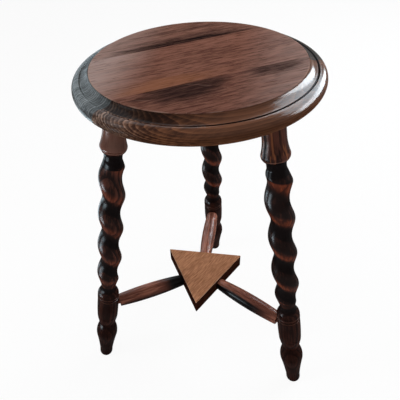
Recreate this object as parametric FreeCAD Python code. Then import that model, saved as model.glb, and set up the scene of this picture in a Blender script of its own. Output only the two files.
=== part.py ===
import FreeCAD
import Part

import math
import os

# Three-legged stool: a round seat of three glued boards with a moulded edge, three splayed
# legs with a left-hand twist, and three turned stretchers that meet in a triangular block.
# Millimetres, +Z up. The origin is on the floor under the centre of the seat, the back leg
# stands on +Y, and the seat's grain runs close to the line through the left leg.

# Seat
SEAT_HEIGHT = 462.0  # floor to the flat top
SEAT_DIAMETER = 258.0  # over the rounded nose
SEAT_THICKNESS = 23.2
MIDDLE_BOARD_WIDTH = 92.5
GRAIN_DEG = 30.5  # direction of the boards, seen from above

# Edge moulding of the seat, from the flat top outwards
ARRIS_STEP = 0.8  # upright step under the edge of the flat
COVE_WIDTH = 8.1
COVE_HOLLOW = 1.7  # depth of the cove under a straight slope
LEDGE_WIDTH = 0.8
QUIRK_WIDTH = 1.8  # V groove inside the nose
QUIRK_DEPTH = 1.3
MOULDING_DROP = 6.2  # from the flat top to the top of the nose

# Dowels in the two edge joints of the seat
DOWEL_RADIUS = 4.0
DOWEL_LENGTH = 40.0
DOWEL_INSET = 46.5  # from the end of a seam in to a dowel

# Stance of the legs
LEG_INSET = 40.4  # from the nose in to a leg's axis, at the underside of the seat
LEG_SPREAD = 88.7  # how much further out the axis is at the floor
LEG_TENON_RADIUS = 10.0
LEG_SHOULDER_WIDTH = 2.2  # flat ring round the tenon, against the seat
SEAT_COVER = 5.0  # wood left above a mortise

# Foot and barrel of a leg, as radii and as heights one above the other
FOOT_PAD_RADIUS = 6.0
FOOT_RADIUS = 10.1
ANKLE_LENGTH = 7.5
FOOT_TAPER_LENGTH = 38.0
FOOT_TAPER_HOLLOW = 0.35
BULB_RADIUS = 16.1
BULB_SWELL = 1.0  # from the edge line out to the widest part
BULB_RISE = 9.5  # from the edge line up to the widest part
BULB_FALL = 20.5  # from the widest part up to the waist
WAIST_RADIUS = 10.9
BARREL_FOOT_LENGTH = 20.0
BARREL_FOOT_SWELL = 0.5
BARREL_RADIUS = 15.5
BARREL_SWELL = 0.4  # how much wider the barrel is at its middle than at its ends
BARREL_LENGTH = 39.5
LINE_WIDTH = 1.0  # cut line near the foot of the barrel
LINE_DEPTH = 0.5
RING_GROOVE_WIDTH = 1.5
RING_GROOVE_DEPTH = 0.8
RING_LENGTH = 3.6
RING_SWELL = 0.3
CAP_LENGTH = 9.0
CAP_SWELL = 0.95
CAP_INSET = 2.2  # how much the cap rounds in to its upper edge
CUP_LENGTH = 9.0  # hollow sweep from the edge of the cap up to the neck
CUP_HOLLOW = 0.6

# Twisted shaft of a leg
TWIST_RADIUS = 13.7  # radius of the strand
TWIST_OFFSET = 2.5  # from the leg's axis to the middle of the strand
TWIST_PITCH = 51.6
TWIST_SECTIONS = 8  # sections in each turn
BILLET_MARGIN = 1.2  # left round the crest of the strand before the hollow is cut
NECK_SINK = 0.8  # the necks are turned this much below the bottom of the hollow
LOWER_NECK_LENGTH = 3.5
LOWER_FLARE_LENGTH = 27.0
UPPER_NECK_LENGTH = 3.5
UPPER_FLARE_LENGTH = 20.5

# Bell collar of a leg, from the neck up to the seat
COLLAR_THROAT_LENGTH = 5.5
COLLAR_THROAT_HOLLOW = 0.35
COLLAR_EDGE_RADIUS = 11.7
COLLAR_ROUND_LENGTH = 7.5
COLLAR_ROUND_SWELL = 1.35
COLLAR_RADIUS = 15.3
COLLAR_BELL_LENGTH = 22.0
COLLAR_BELL_HOLLOW = 0.95
COLLAR_NECK_RADIUS = 12.5
COLLAR_SHANK_LENGTH = 30.0

# Triangular block and the three stretchers
BLOCK_SIDE = 115.0
BLOCK_THICKNESS = 22.0
BLOCK_CORNER_ROUND = 1.5
BLOCK_EDGE_EASE = 0.6
BLOCK_RISE = 2.2  # from the stretchers' axes up to the middle of the block
STRETCHER_DROP = 14.2  # from the rings of the barrel down to a stretcher's axis
STRETCHER_BLOCK_RADIUS = 8.2
STRETCHER_RADIUS = 11.2
STRETCHER_LEG_RADIUS = 9.2
STRETCHER_TENON_RADIUS = 5.0
STRETCHER_BLOCK_TENON = 16.0
STRETCHER_LEG_TENON = 15.0

# Fits
JOINT_CLEARANCE = 0.1  # round a glued tenon or dowel
GLUE_POCKET = 1.0  # past the end of a tenon or dowel
SHOULDER_GAP = 0.15  # between a stretcher's square shoulder and the round barrel

# Legs in order round the seat, and where the crest of each twist lies at the lower neck, as an
# angle from the leg's outer side
TWIST_PHASE_DEG = {"back": 198.0, "left": 200.0, "right": 321.0}

ORIGIN = FreeCAD.Vector(0, 0, 0)
UP = FreeCAD.Vector(0, 0, 1)
SIDEWAYS = FreeCAD.Vector(0, 1, 0)
FULL_TURN = 360.0
MM3_PER_CM3 = 1000.0

seat_radius = SEAT_DIAMETER / 2
underside = SEAT_HEIGHT - SEAT_THICKNESS
nose_radius = (SEAT_THICKNESS - MOULDING_DROP) / 2

leg_azimuth = {}
for order, leg in enumerate(TWIST_PHASE_DEG):
    leg_azimuth[leg] = FULL_TURN / 4 + order * FULL_TURN / len(TWIST_PHASE_DEG)

leg_radius_at_seat = seat_radius - LEG_INSET
leg_radius_at_floor = leg_radius_at_seat + LEG_SPREAD
splay = math.atan2(LEG_SPREAD, underside)
leg_length = math.hypot(LEG_SPREAD, underside)
mortise_depth = (SEAT_THICKNESS - SEAT_COVER) / math.cos(splay) - LEG_TENON_RADIUS * math.tan(splay)
leg_tenon_length = mortise_depth - GLUE_POCKET

neck_radius = TWIST_RADIUS - TWIST_OFFSET - NECK_SINK
billet_radius = TWIST_RADIUS + TWIST_OFFSET + BILLET_MARGIN
bulb_edge_radius = BULB_RADIUS - BULB_SWELL
barrel_end_radius = BARREL_RADIUS - BARREL_SWELL
cap_edge_radius = barrel_end_radius - CAP_INSET
collar_top_radius = LEG_TENON_RADIUS + LEG_SHOULDER_WIDTH
foot_centre = math.sqrt(FOOT_RADIUS**2 - FOOT_PAD_RADIUS**2)

waist_height = foot_centre + ANKLE_LENGTH + FOOT_TAPER_LENGTH + BULB_RISE + BULB_FALL
ring_height = waist_height + BARREL_FOOT_LENGTH + LINE_WIDTH + BARREL_LENGTH
cap_height = ring_height + 2 * RING_GROOVE_WIDTH + RING_LENGTH
lower_neck_height = cap_height + CAP_LENGTH + CUP_LENGTH
bell_length = COLLAR_ROUND_LENGTH + COLLAR_BELL_LENGTH + COLLAR_SHANK_LENGTH
upper_neck_height = leg_length - bell_length - COLLAR_THROAT_LENGTH

# The stretchers lie level, from the inner sides of the barrels to the middle of the block's sides
stretcher_height = (ring_height - STRETCHER_DROP) * math.cos(splay) - BARREL_RADIUS * math.sin(splay)
shoulder_top = stretcher_height + STRETCHER_LEG_RADIUS
barrel_face = leg_radius_at_floor - shoulder_top * math.tan(splay) - BARREL_RADIUS / math.cos(splay)
stretcher_start = BLOCK_SIDE / (2 * math.sqrt(3))
stretcher_end = barrel_face - SHOULDER_GAP


class TurnedOutline:
    """Half outline of a turned piece, drawn upwards from its axis as radius against height."""

    def __init__(self, height):
        self.start = FreeCAD.Vector(0, 0, height)
        self.radius = 0.0
        self.height = height
        self.edges = []

    def here(self):
        return FreeCAD.Vector(self.radius, 0, self.height)

    def line(self, radius, rise=0.0):
        """Straight run to a radius, so much higher."""
        start = self.here()
        self.radius = radius
        self.height += rise
        self.edges.append(Part.makeLine(start, self.here()))

    def arc(self, radius, rise, via_radius, via_rise):
        """Arc to a radius, so much higher, through a point on the way."""
        start = self.here()
        via = FreeCAD.Vector(via_radius, 0, self.height + via_rise)
        self.radius = radius
        self.height += rise
        self.edges.append(Part.Arc(start, via, self.here()).toShape())

    def bow(self, radius, rise, swell):
        """Arc to a radius, so much higher, that stands off its chord by a swell."""
        self.arc(radius, rise, (self.radius + radius) / 2 + swell, rise / 2)

    def groove(self, width, depth):
        """V groove across the outline, back out to the same radius."""
        outer = self.radius
        self.line(outer - depth, width / 2)
        self.line(outer, width / 2)

    def solid(self):
        """Close the outline on its axis and turn it."""
        self.line(0.0)
        self.edges.append(Part.makeLine(self.here(), self.start))
        return Part.Face(Part.Wire(self.edges)).revolve(ORIGIN, UP, FULL_TURN)


def turned(shape, azimuth):
    """Copy of a shape turned about the stool's upright middle line."""
    return shape.transformed(FreeCAD.Placement(ORIGIN, FreeCAD.Rotation(UP, azimuth)).toMatrix())


def stood(shape, azimuth):
    """Copy of a piece drawn upright on a leg's axis, leaned inwards and stood at its azimuth."""
    lean = FreeCAD.Rotation(SIDEWAYS, -math.degrees(splay))
    foot = FreeCAD.Vector(leg_radius_at_floor, 0, 0)
    return turned(shape.transformed(FreeCAD.Placement(foot, lean).toMatrix()), azimuth)


def laid(shape, azimuth):
    """Copy of a piece drawn upright on the middle line, laid level as a stretcher at an azimuth."""
    tip = FreeCAD.Rotation(SIDEWAYS, FULL_TURN / 4)
    centre = FreeCAD.Vector(0, 0, stretcher_height)
    return turned(shape.transformed(FreeCAD.Placement(centre, tip).toMatrix()), azimuth)


def slab(low, high):
    """Box between two heights that takes in the whole stool from above."""
    reach = leg_radius_at_floor + seat_radius
    return Part.makeBox(2 * reach, 2 * reach, high - low, FreeCAD.Vector(-reach, -reach, low))


def bar(radius, low, high):
    """Plain upright cylinder between two heights on the axis."""
    return Part.makeCylinder(radius, high - low, FreeCAD.Vector(0, 0, low))


def leg_outline():
    """Outline of a leg before its hollow is cut, from below the floor to above the seat's underside."""
    outline = TurnedOutline(foot_centre - FOOT_RADIUS)
    halfway = FOOT_RADIUS * math.sin(math.pi / 4)
    outline.arc(FOOT_RADIUS, FOOT_RADIUS, halfway, FOOT_RADIUS - halfway)
    outline.line(FOOT_RADIUS, ANKLE_LENGTH)
    outline.bow(bulb_edge_radius, FOOT_TAPER_LENGTH, -FOOT_TAPER_HOLLOW)
    outline.arc(WAIST_RADIUS, BULB_RISE + BULB_FALL, BULB_RADIUS, BULB_RISE)
    outline.bow(barrel_end_radius, BARREL_FOOT_LENGTH, BARREL_FOOT_SWELL)
    outline.groove(LINE_WIDTH, LINE_DEPTH)
    outline.bow(barrel_end_radius, BARREL_LENGTH, BARREL_SWELL)
    outline.groove(RING_GROOVE_WIDTH, RING_GROOVE_DEPTH)
    outline.bow(barrel_end_radius, RING_LENGTH, RING_SWELL)
    outline.groove(RING_GROOVE_WIDTH, RING_GROOVE_DEPTH)
    outline.bow(cap_edge_radius, CAP_LENGTH, CAP_SWELL)
    outline.bow(neck_radius, CUP_LENGTH, -CUP_HOLLOW)
    outline.line(neck_radius, LOWER_NECK_LENGTH)
    outline.line(billet_radius, LOWER_FLARE_LENGTH)
    flare_start = upper_neck_height - UPPER_NECK_LENGTH - UPPER_FLARE_LENGTH
    outline.line(billet_radius, flare_start - outline.height)
    outline.line(neck_radius, UPPER_FLARE_LENGTH)
    outline.line(neck_radius, UPPER_NECK_LENGTH)
    outline.bow(COLLAR_EDGE_RADIUS, COLLAR_THROAT_LENGTH, -COLLAR_THROAT_HOLLOW)
    outline.bow(COLLAR_RADIUS, COLLAR_ROUND_LENGTH, COLLAR_ROUND_SWELL)
    outline.bow(COLLAR_NECK_RADIUS, COLLAR_BELL_LENGTH, -COLLAR_BELL_HOLLOW)
    outline.line(collar_top_radius, COLLAR_SHANK_LENGTH)
    outline.line(collar_top_radius, collar_top_radius)
    return outline


def twist_hollow(phase):
    """What is cut from the shaft between the necks so that a single strand winds up it."""
    span = upper_neck_height - lower_neck_height
    count = math.ceil(TWIST_SECTIONS * span / TWIST_PITCH)
    sections = []
    for index in range(count + 1):
        rise = span * index / count
        angle = math.radians(phase - FULL_TURN * rise / TWIST_PITCH)
        across = TWIST_OFFSET * math.cos(angle)
        aside = TWIST_OFFSET * math.sin(angle)
        centre = FreeCAD.Vector(across, aside, lower_neck_height + rise)
        sections.append(Part.Wire(Part.Circle(centre, UP, TWIST_RADIUS).toShape()))
    strand = Part.makeLoft(sections, True)
    low = lower_neck_height + LOWER_NECK_LENGTH / 2
    high = upper_neck_height - UPPER_NECK_LENGTH / 2
    return bar(billet_radius + BILLET_MARGIN, low, high).cut(strand)


def leg_tenon(clearance, extra_length):
    """Round tenon on top of a leg, or its mortise when made larger and longer."""
    radius = LEG_TENON_RADIUS + clearance
    return bar(radius, leg_length - collar_top_radius, leg_length + leg_tenon_length + extra_length)


def stretcher_tenon(clearance, extra_length):
    """Round tenon on the leg's end of a stretcher, or its mortise when made larger and longer."""
    radius = STRETCHER_TENON_RADIUS + clearance
    tip = stretcher_end + STRETCHER_LEG_TENON + extra_length
    return bar(radius, stretcher_end - STRETCHER_LEG_RADIUS, tip)


def make_leg(azimuth, phase):
    """One leg, turned, twisted, trimmed to the floor and the seat, and bored for its stretcher."""
    shaft = leg_outline().solid().cut(twist_hollow(phase))
    body = stood(shaft, azimuth).common(slab(0.0, underside))
    body = body.fuse(stood(leg_tenon(0.0, 0.0), azimuth)).removeSplitter()
    return body.cut(laid(stretcher_tenon(JOINT_CLEARANCE, GLUE_POCKET), azimuth))


def make_stretcher(azimuth):
    """One turned stretcher with its two tenons and square shoulders."""
    outline = TurnedOutline(stretcher_start - STRETCHER_BLOCK_TENON)
    outline.line(STRETCHER_TENON_RADIUS)
    outline.line(STRETCHER_TENON_RADIUS, STRETCHER_BLOCK_TENON)
    outline.line(STRETCHER_BLOCK_RADIUS)
    length = stretcher_end - stretcher_start
    outline.arc(STRETCHER_LEG_RADIUS, length, STRETCHER_RADIUS, length / 2)
    outline.line(STRETCHER_TENON_RADIUS)
    outline.line(STRETCHER_TENON_RADIUS, STRETCHER_LEG_TENON)
    return laid(outline.solid(), azimuth)


def make_block():
    """Triangular block whose sides face the legs, with a mortise in the middle of each side."""
    corner_radius = BLOCK_SIDE / math.sqrt(3)
    base = stretcher_height + BLOCK_RISE - BLOCK_THICKNESS / 2
    corners = []
    for azimuth in leg_azimuth.values():
        angle = math.radians(azimuth + FULL_TURN / 2)
        across = corner_radius * math.cos(angle)
        aside = corner_radius * math.sin(angle)
        corners.append(FreeCAD.Vector(across, aside, base))
    prism = Part.Face(Part.makePolygon(corners + corners[:1])).extrude(UP * BLOCK_THICKNESS)
    upright = [edge for edge in prism.Edges if edge.BoundBox.ZLength > BLOCK_EDGE_EASE]
    block = prism.makeFillet(BLOCK_CORNER_ROUND, upright)
    level = [edge for edge in block.Edges if edge.BoundBox.ZLength < BLOCK_EDGE_EASE]
    block = block.makeFillet(BLOCK_EDGE_EASE, level)
    mortise_end = stretcher_start - STRETCHER_BLOCK_TENON - GLUE_POCKET
    mortise = bar(STRETCHER_TENON_RADIUS + JOINT_CLEARANCE, mortise_end, stretcher_end)
    for azimuth in leg_azimuth.values():
        block = block.cut(laid(mortise, azimuth))
    return block


def seat_disc():
    """The whole seat as one turned disc with its moulded edge."""
    outline = TurnedOutline(underside)
    quirk_outside = seat_radius - nose_radius
    ledge_outside = quirk_outside - QUIRK_WIDTH
    cove_outside = ledge_outside - LEDGE_WIDTH
    flat_radius = cove_outside - COVE_WIDTH
    outline.line(quirk_outside)
    outline.arc(quirk_outside, 2 * nose_radius, seat_radius, nose_radius)
    outline.line(quirk_outside - QUIRK_WIDTH / 2, -QUIRK_DEPTH)
    outline.line(ledge_outside, QUIRK_DEPTH)
    outline.line(cove_outside)
    outline.bow(flat_radius, MOULDING_DROP - ARRIS_STEP, -COVE_HOLLOW)
    outline.line(flat_radius, ARRIS_STEP)
    return outline.solid()


def seat_dowels(clearance, extra_length):
    """The dowels across both seams of the seat, or their holes when made larger and longer."""
    radius = DOWEL_RADIUS + clearance
    length = DOWEL_LENGTH + 2 * extra_length
    height = underside + SEAT_THICKNESS / 2
    dowels = []
    seam_offset = MIDDLE_BOARD_WIDTH / 2
    dowel_offset = math.sqrt(seat_radius**2 - seam_offset**2) - DOWEL_INSET
    for seam in (-seam_offset, seam_offset):
        for along in (-dowel_offset, dowel_offset):
            base = FreeCAD.Vector(along, seam - length / 2, height)
            dowels.append(turned(Part.makeCylinder(radius, length, base, SIDEWAYS), GRAIN_DEG))
    return Part.makeCompound(dowels)


def make_seat_boards():
    """The three boards of the seat, bored for the legs and for the dowels."""
    disc = seat_disc()
    for azimuth in leg_azimuth.values():
        disc = disc.cut(stood(leg_tenon(JOINT_CLEARANCE, GLUE_POCKET), azimuth))
    disc = disc.cut(seat_dowels(JOINT_CLEARANCE, GLUE_POCKET))
    seam = MIDDLE_BOARD_WIDTH / 2
    edges = {"front": (-seat_radius, -seam), "middle": (-seam, seam), "back": (seam, seat_radius)}
    boards = {}
    for name, (near, far) in edges.items():
        corner = FreeCAD.Vector(-seat_radius, near, underside)
        strip = Part.makeBox(SEAT_DIAMETER, far - near, SEAT_THICKNESS, corner)
        boards[name] = disc.common(turned(strip, GRAIN_DEG))
    return boards


def main():
    """Make every piece and write one file for each node."""
    pieces = {f"seat_board_{name}": board for name, board in make_seat_boards().items()}
    pieces["seat_dowels"] = seat_dowels(0.0, 0.0)
    for name, azimuth in leg_azimuth.items():
        pieces[f"leg_{name}"] = make_leg(azimuth, TWIST_PHASE_DEG[name])
        pieces[f"stretcher_{name}"] = make_stretcher(azimuth)
    pieces["stretcher_block"] = make_block()
    os.makedirs("parts", exist_ok=True)
    for name, shape in pieces.items():
        shape.exportStep(f"parts/{name}.step")
        volume = round(shape.Volume / MM3_PER_CM3, 2)
        print(name, len(shape.Solids), "solids", volume, "cm3", shape.isValid())


main()
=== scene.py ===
"""Looks of a three-legged stool with twisted legs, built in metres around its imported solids, +Z up."""

import logging
import math
from collections.abc import Callable
from dataclasses import dataclass, field
from enum import Enum
from typing import Any

import bpy
import numpy as np
from mathutils import Matrix, Vector


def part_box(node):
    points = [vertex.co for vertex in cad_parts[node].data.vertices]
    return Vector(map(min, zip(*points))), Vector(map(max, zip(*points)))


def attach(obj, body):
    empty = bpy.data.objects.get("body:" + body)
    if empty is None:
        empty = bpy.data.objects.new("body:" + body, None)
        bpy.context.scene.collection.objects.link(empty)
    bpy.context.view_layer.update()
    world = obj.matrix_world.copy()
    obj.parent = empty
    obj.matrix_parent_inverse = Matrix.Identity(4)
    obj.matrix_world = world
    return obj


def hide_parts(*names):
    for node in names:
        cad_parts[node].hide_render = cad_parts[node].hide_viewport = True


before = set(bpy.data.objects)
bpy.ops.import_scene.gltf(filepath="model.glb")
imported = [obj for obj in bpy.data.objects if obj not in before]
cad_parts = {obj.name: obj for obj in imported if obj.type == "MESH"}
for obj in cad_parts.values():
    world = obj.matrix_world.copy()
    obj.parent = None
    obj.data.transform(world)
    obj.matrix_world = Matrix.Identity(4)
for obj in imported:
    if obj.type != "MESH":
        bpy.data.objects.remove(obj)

MM = 0.001
BODY = "root"
PHOTO_SIDE = 400.0
FULL_TURN = 2 * math.pi
UP = Vector((0.0, 0.0, 1.0))
WELD_DISTANCE = 0.002
WHITE = (1.0, 1.0, 1.0, 1.0)
PANE_BLUE = (0.86, 0.95, 1.0)
CARD_BLUE = (0.72, 0.9, 1.0)

log = logging.getLogger("stool")

Colour = tuple[float, float, float, float]
Range = tuple[float, float]
Socket = bpy.types.NodeSocket
Material = bpy.types.Material
Piece = bpy.types.Object


def tone(red: int, green: int, blue: int) -> Colour:
    """Colour from 8-bit display values, as the linear values that a shader takes.

    Args:
        red: Red as displayed, 0 to 255.
        green: Green as displayed, 0 to 255.
        blue: Blue as displayed, 0 to 255.

    Returns:
        Linear red, green and blue, and an alpha of one.
    """
    low_end, slope, offset, power = 0.04045, 12.92, 0.055, 2.4
    linear = []
    for byte in (red, green, blue):
        share = byte / 255
        curve = ((share + offset) / (1 + offset)) ** power
        linear.append(share / slope if share <= low_end else curve)
    return (linear[0], linear[1], linear[2], 1.0)


class Leg(Enum):
    """The three legs, each with its direction from the middle and the place of its twist, in degrees."""

    BACK = ("back", 90.0, 198.0)
    LEFT = ("left", 210.0, 200.0)
    RIGHT = ("right", 330.0, 321.0)

    @property
    def word(self) -> str:
        """Plain word for the leg."""
        return self.value[0]

    @property
    def azimuth(self) -> float:
        """Direction from the stool's middle, in radians."""
        return math.radians(self.value[1])

    @property
    def phase(self) -> float:
        """Angle of the strand's crest at the lower neck, in radians."""
        return math.radians(self.value[2])


class Board(Enum):
    """The three boards of the seat."""

    BACK = "back"
    MIDDLE = "middle"
    FRONT = "front"


class Sheet:
    """Adds nodes to one tree and joins them."""

    def __init__(self, tree: bpy.types.NodeTree) -> None:
        """Keep the tree that the nodes go into."""
        self.tree = tree

    def feed(self, node: bpy.types.Node, inputs: dict[str | int, Any]) -> None:
        """Fill a node's inputs.

        Args:
            node: The node.
            inputs: What goes into each input: another node's output, or a plain value.
        """
        for key, value in inputs.items():
            if isinstance(value, Socket):
                self.tree.links.new(value, node.inputs[key])
            else:
                node.inputs[key].default_value = value

    def add(self, kind: str, inputs: dict[str | int, Any] | None = None, **settings: Any) -> bpy.types.Node:
        """Add one node.

        Args:
            kind: Type name of the node.
            inputs: What goes into its inputs.
            settings: Properties of the node.

        Returns:
            The new node.
        """
        node = self.tree.nodes.new(kind)
        for name, value in settings.items():
            setattr(node, name, value)
        self.feed(node, inputs or {})
        return node

    def effect(self, tree: bpy.types.NodeTree, inputs: dict[str, Any]) -> Any:
        """Outputs of a shared effect, by name."""
        return self.add("ShaderNodeGroup", inputs, node_tree=tree).outputs

    def math(self, operation: str, *values: Any) -> Socket:
        """Result of a sum on one to three values."""
        return self.add("ShaderNodeMath", dict(enumerate(values)), operation=operation).outputs[0]

    def times(self, first: Any, *others: Any) -> Socket:
        """Product of the values."""
        for other in others:
            first = self.math("MULTIPLY", first, other)
        return first

    def most(self, first: Any, *others: Any) -> Socket:
        """Greatest of the values."""
        for other in others:
            first = self.math("MAXIMUM", first, other)
        return first

    def weighed(self, *parts: tuple[Any, Any]) -> Socket:
        """Total of the values, each times its own weight."""
        total = self.times(*parts[0])
        for value, weight in parts[1:]:
            total = self.math("MULTIPLY_ADD", value, weight, total)
        return total

    def swing(self, cloud: Any, reach: Any) -> Socket:
        """Swing about nought, from a cloudy value around a half."""
        return self.times(self.math("SUBTRACT", cloud, 0.5), reach)

    def vector(self, operation: str, *values: Any) -> Socket:
        """Result of a sum on vectors: a number for a length, and a vector otherwise."""
        node = self.add("ShaderNodeVectorMath", dict(enumerate(values)), operation=operation)
        return node.outputs["Value" if operation == "LENGTH" else "Vector"]

    def length(self, place: Any, weights: tuple[float, float, float]) -> Socket:
        """Length of a place's vector, with a weight on each axis."""
        return self.vector("LENGTH", self.vector("MULTIPLY", place, weights))

    def axes(self, place: Any) -> Any:
        """Parts of a place along X, Y and Z, by name."""
        return self.add("ShaderNodeSeparateXYZ", {"Vector": place}).outputs

    def own(self, name: str, output: str = "Fac") -> Socket:
        """Value stored at the piece's points."""
        return self.add("ShaderNodeAttribute", attribute_name=name).outputs[output]

    def grain_places(self, angle: float) -> tuple[Socket, Socket]:
        """Place on the stool as it is, and the same place with X turned along a grain."""
        source = self.add("ShaderNodeTexCoord").outputs["Object"]
        turn = {"Vector": source, "Rotation": (0.0, 0.0, -angle)}
        return source, self.add("ShaderNodeMapping", turn).outputs["Vector"]

    def rise(self, value: Any, low: Any, high: Any) -> Socket:
        """Soft step from nought at low to one at high."""
        inputs = {"Value": value, "From Min": low, "From Max": high}
        node = self.add("ShaderNodeMapRange", inputs, interpolation_type="SMOOTHSTEP")
        return node.outputs["Result"]

    def ramp(self, value: Any, ends: Range) -> Socket:
        """Soft step from nought at the first of two places, in millimetres, to one at the second."""
        return self.rise(value, ends[0] * MM, ends[1] * MM)

    def span(self, value: Any, low: Any, high: Any) -> Socket:
        """Value from nought to one, spread from low to high."""
        node = self.add("ShaderNodeMapRange", {"Value": value, "To Min": low, "To Max": high})
        return node.outputs["Result"]

    def blend(self, share: Any, first: Any, second: Any) -> Socket:
        """Mix of two colours: the first at a share of nought and the second at one."""
        inputs = {0: share, 6: first, 7: second}
        return self.add("ShaderNodeMix", inputs, data_type="RGBA", clamp_factor=True).outputs[2]

    def noise(self, place: Any, scale: Any, detail: float = 3.0, rough: float = 0.5) -> Socket:
        """Cloudy value around a half."""
        inputs = {"Vector": place, "Scale": scale, "Detail": detail, "Roughness": rough}
        return self.add("ShaderNodeTexNoise", inputs).outputs[0]

    def bump(self, fibres: Any, strength: float, depth: float, *others: tuple[Any, float]) -> Socket:
        """Normal of a surface with raised fibres and sunk pores.

        Args:
            fibres: Outputs of the fibres.
            strength: Strength of the relief.
            depth: Its depth, in millimetres.
            others: Other heights, each with its weight.

        Returns:
            The normal.
        """
        heights = {"Fibre": 0.4, "Pore": -1.0}
        relief = self.weighed(*((fibres[name], weight) for name, weight in heights.items()), *others)
        inputs = {"Strength": strength, "Distance": depth * MM, "Height": relief}
        return self.add("ShaderNodeBump", inputs).outputs["Normal"]


@dataclass(frozen=True)
class Streak:
    """A noise drawn out along the grain: its scales along and across, its detail and its roughness."""

    along: float
    across: float
    detail: float
    rough: float = 0.5

    def draw(self, sheet: Sheet, place: Any, scale: Any = 1.0) -> Socket:
        """Value around a half at a place whose X lies along the grain."""
        drawn_out = sheet.vector("MULTIPLY", place, (self.along, self.across, self.across))
        return sheet.noise(drawn_out, scale, self.detail, self.rough)


class Effect:
    """Shader node groups that the finishes share, each made once."""

    made: dict[str, bpy.types.NodeTree] = {}
    origin = (0.0, 0.0, 0.0)
    ring_drift = Streak(0.25, 1.0, 2.0)
    fine_fibre = Streak(26.0, 420.0, 4.0, 0.62)
    broad_fibre = Streak(5.0, 90.0, 3.0, 0.55)
    fine_share = 0.55
    fibre_step = (0.36, 0.64)
    pore_dash = Streak(55.0, 700.0, 2.0)
    pore_step = (0.58, 0.7)
    ragged_edge = Streak(26.0, 170.0, 5.0, 0.65)

    @classmethod
    def group(
        cls,
        name: str,
        inputs: dict[str, Any],
        outputs: tuple[str, ...],
        draw: Callable[[Sheet, Any], dict[str, Socket]],
    ) -> bpy.types.NodeTree:
        """Node group of that name, drawn the first time that it is asked for.

        Args:
            name: Plain name of the effect.
            inputs: Each input's name and its usual value; a triple makes a vector.
            outputs: Names of the values that the group gives.
            draw: Adds the nodes, given the sheet and the group's inputs, and returns each output.

        Returns:
            The group's tree.
        """
        if name in cls.made:
            return cls.made[name]
        tree = bpy.data.node_groups.new(name, "ShaderNodeTree")
        for title, usual in inputs.items():
            kind = "NodeSocketVector" if isinstance(usual, tuple) else "NodeSocketFloat"
            socket = tree.interface.new_socket(name=title, in_out="INPUT", socket_type=kind)
            socket.default_value = usual
        for title in outputs:
            tree.interface.new_socket(name=title, in_out="OUTPUT", socket_type="NodeSocketFloat")
        sheet = Sheet(tree)
        source = sheet.add("NodeGroupInput").outputs
        sheet.add("NodeGroupOutput", draw(sheet, source))
        cls.made[name] = tree
        return tree

    @classmethod
    def growth_rings(cls) -> bpy.types.NodeTree:
        """Yearly rings round a heart line along X: a saw-tooth ring, and a tone for each ring."""
        late_power = 2.2
        last_share = 0.88

        def draw(sheet: Sheet, source: Any) -> dict[str, Socket]:
            """Measure the wavering distance from the heart line and cut it into rings."""
            place = source["Place"]
            drift = cls.ring_drift.draw(sheet, place, source["Waver Scale"])
            reach = sheet.length(place, (0.0, 1.0, 1.0))
            wavering = sheet.math("ADD", reach, sheet.swing(drift, source["Waver"]))
            count = sheet.math("DIVIDE", wavering, source["Width"])
            order = sheet.math("FLOOR", count)
            chance = sheet.add("ShaderNodeTexWhiteNoise", {"W": order}, noise_dimensions="1D")
            share = sheet.math("FRACT", count)
            late = sheet.math("POWER", share, late_power)
            fall = sheet.rise(share, 1.0, last_share)
            return {"Ring": sheet.times(late, fall), "Tone": chance.outputs["Value"]}

        inputs = {"Place": cls.origin, "Width": 0.003, "Waver": 0.004, "Waver Scale": 14.0}
        return cls.group("growth_rings", inputs, ("Ring", "Tone"), draw)

    @classmethod
    def fibres(cls) -> bpy.types.NodeTree:
        """Fine fibres and short open pores that run along X."""

        def draw(sheet: Sheet, source: Any) -> dict[str, Socket]:
            """Draw three noises out along the grain and keep the peaks of one as pores."""
            place = source["Place"]
            scale = source["Fineness"]
            fine = cls.fine_fibre.draw(sheet, place, scale)
            broad = cls.broad_fibre.draw(sheet, place, scale)
            dash = cls.pore_dash.draw(sheet, place, scale)
            fibre = sheet.weighed((fine, cls.fine_share), (broad, 1 - cls.fine_share))
            return {"Fibre": sheet.rise(fibre, *cls.fibre_step), "Pore": sheet.rise(dash, *cls.pore_step)}

        return cls.group("fibres", {"Place": cls.origin, "Fineness": 1.0}, ("Fibre", "Pore"), draw)

    @classmethod
    def smoky_patch(cls) -> bpy.types.NodeTree:
        """Soft-edged oval of dark heartwood, longer along X, ragged along the fibres."""
        raggedness = 1.3
        outer_edge = 1.05

        def draw(sheet: Sheet, source: Any) -> dict[str, Socket]:
            """Measure how far a place lies from the oval's middle and roughen the edge."""
            off = sheet.vector("SUBTRACT", source["Place"], source["Centre"])
            oval = sheet.vector("LENGTH", sheet.vector("DIVIDE", off, source["Reach"]))
            ragged = sheet.swing(cls.ragged_edge.draw(sheet, source["Place"]), raggedness)
            return {"Patch": sheet.rise(sheet.math("ADD", oval, ragged), outer_edge, source["Core"])}

        inputs = {"Place": cls.origin, "Centre": cls.origin, "Reach": (0.05, 0.02, 1.0), "Core": 0.45}
        return cls.group("smoky_patch", inputs, ("Patch",), draw)

    @classmethod
    def hairlines(cls) -> bpy.types.NodeTree:
        """Thin curved scratches and small pale specks, few and far between."""
        curl_scale = 22.0
        curl = 0.03
        wall_scale = 26.0
        scratch_width = (0.006, 0.001)
        scratch_cloud = 31.0
        scratch_kept = (0.6, 0.68)
        speck_scale = 150.0
        speck_size = (0.16, 0.06)
        speck_cloud = 70.0
        speck_kept = (0.66, 0.72)

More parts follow.
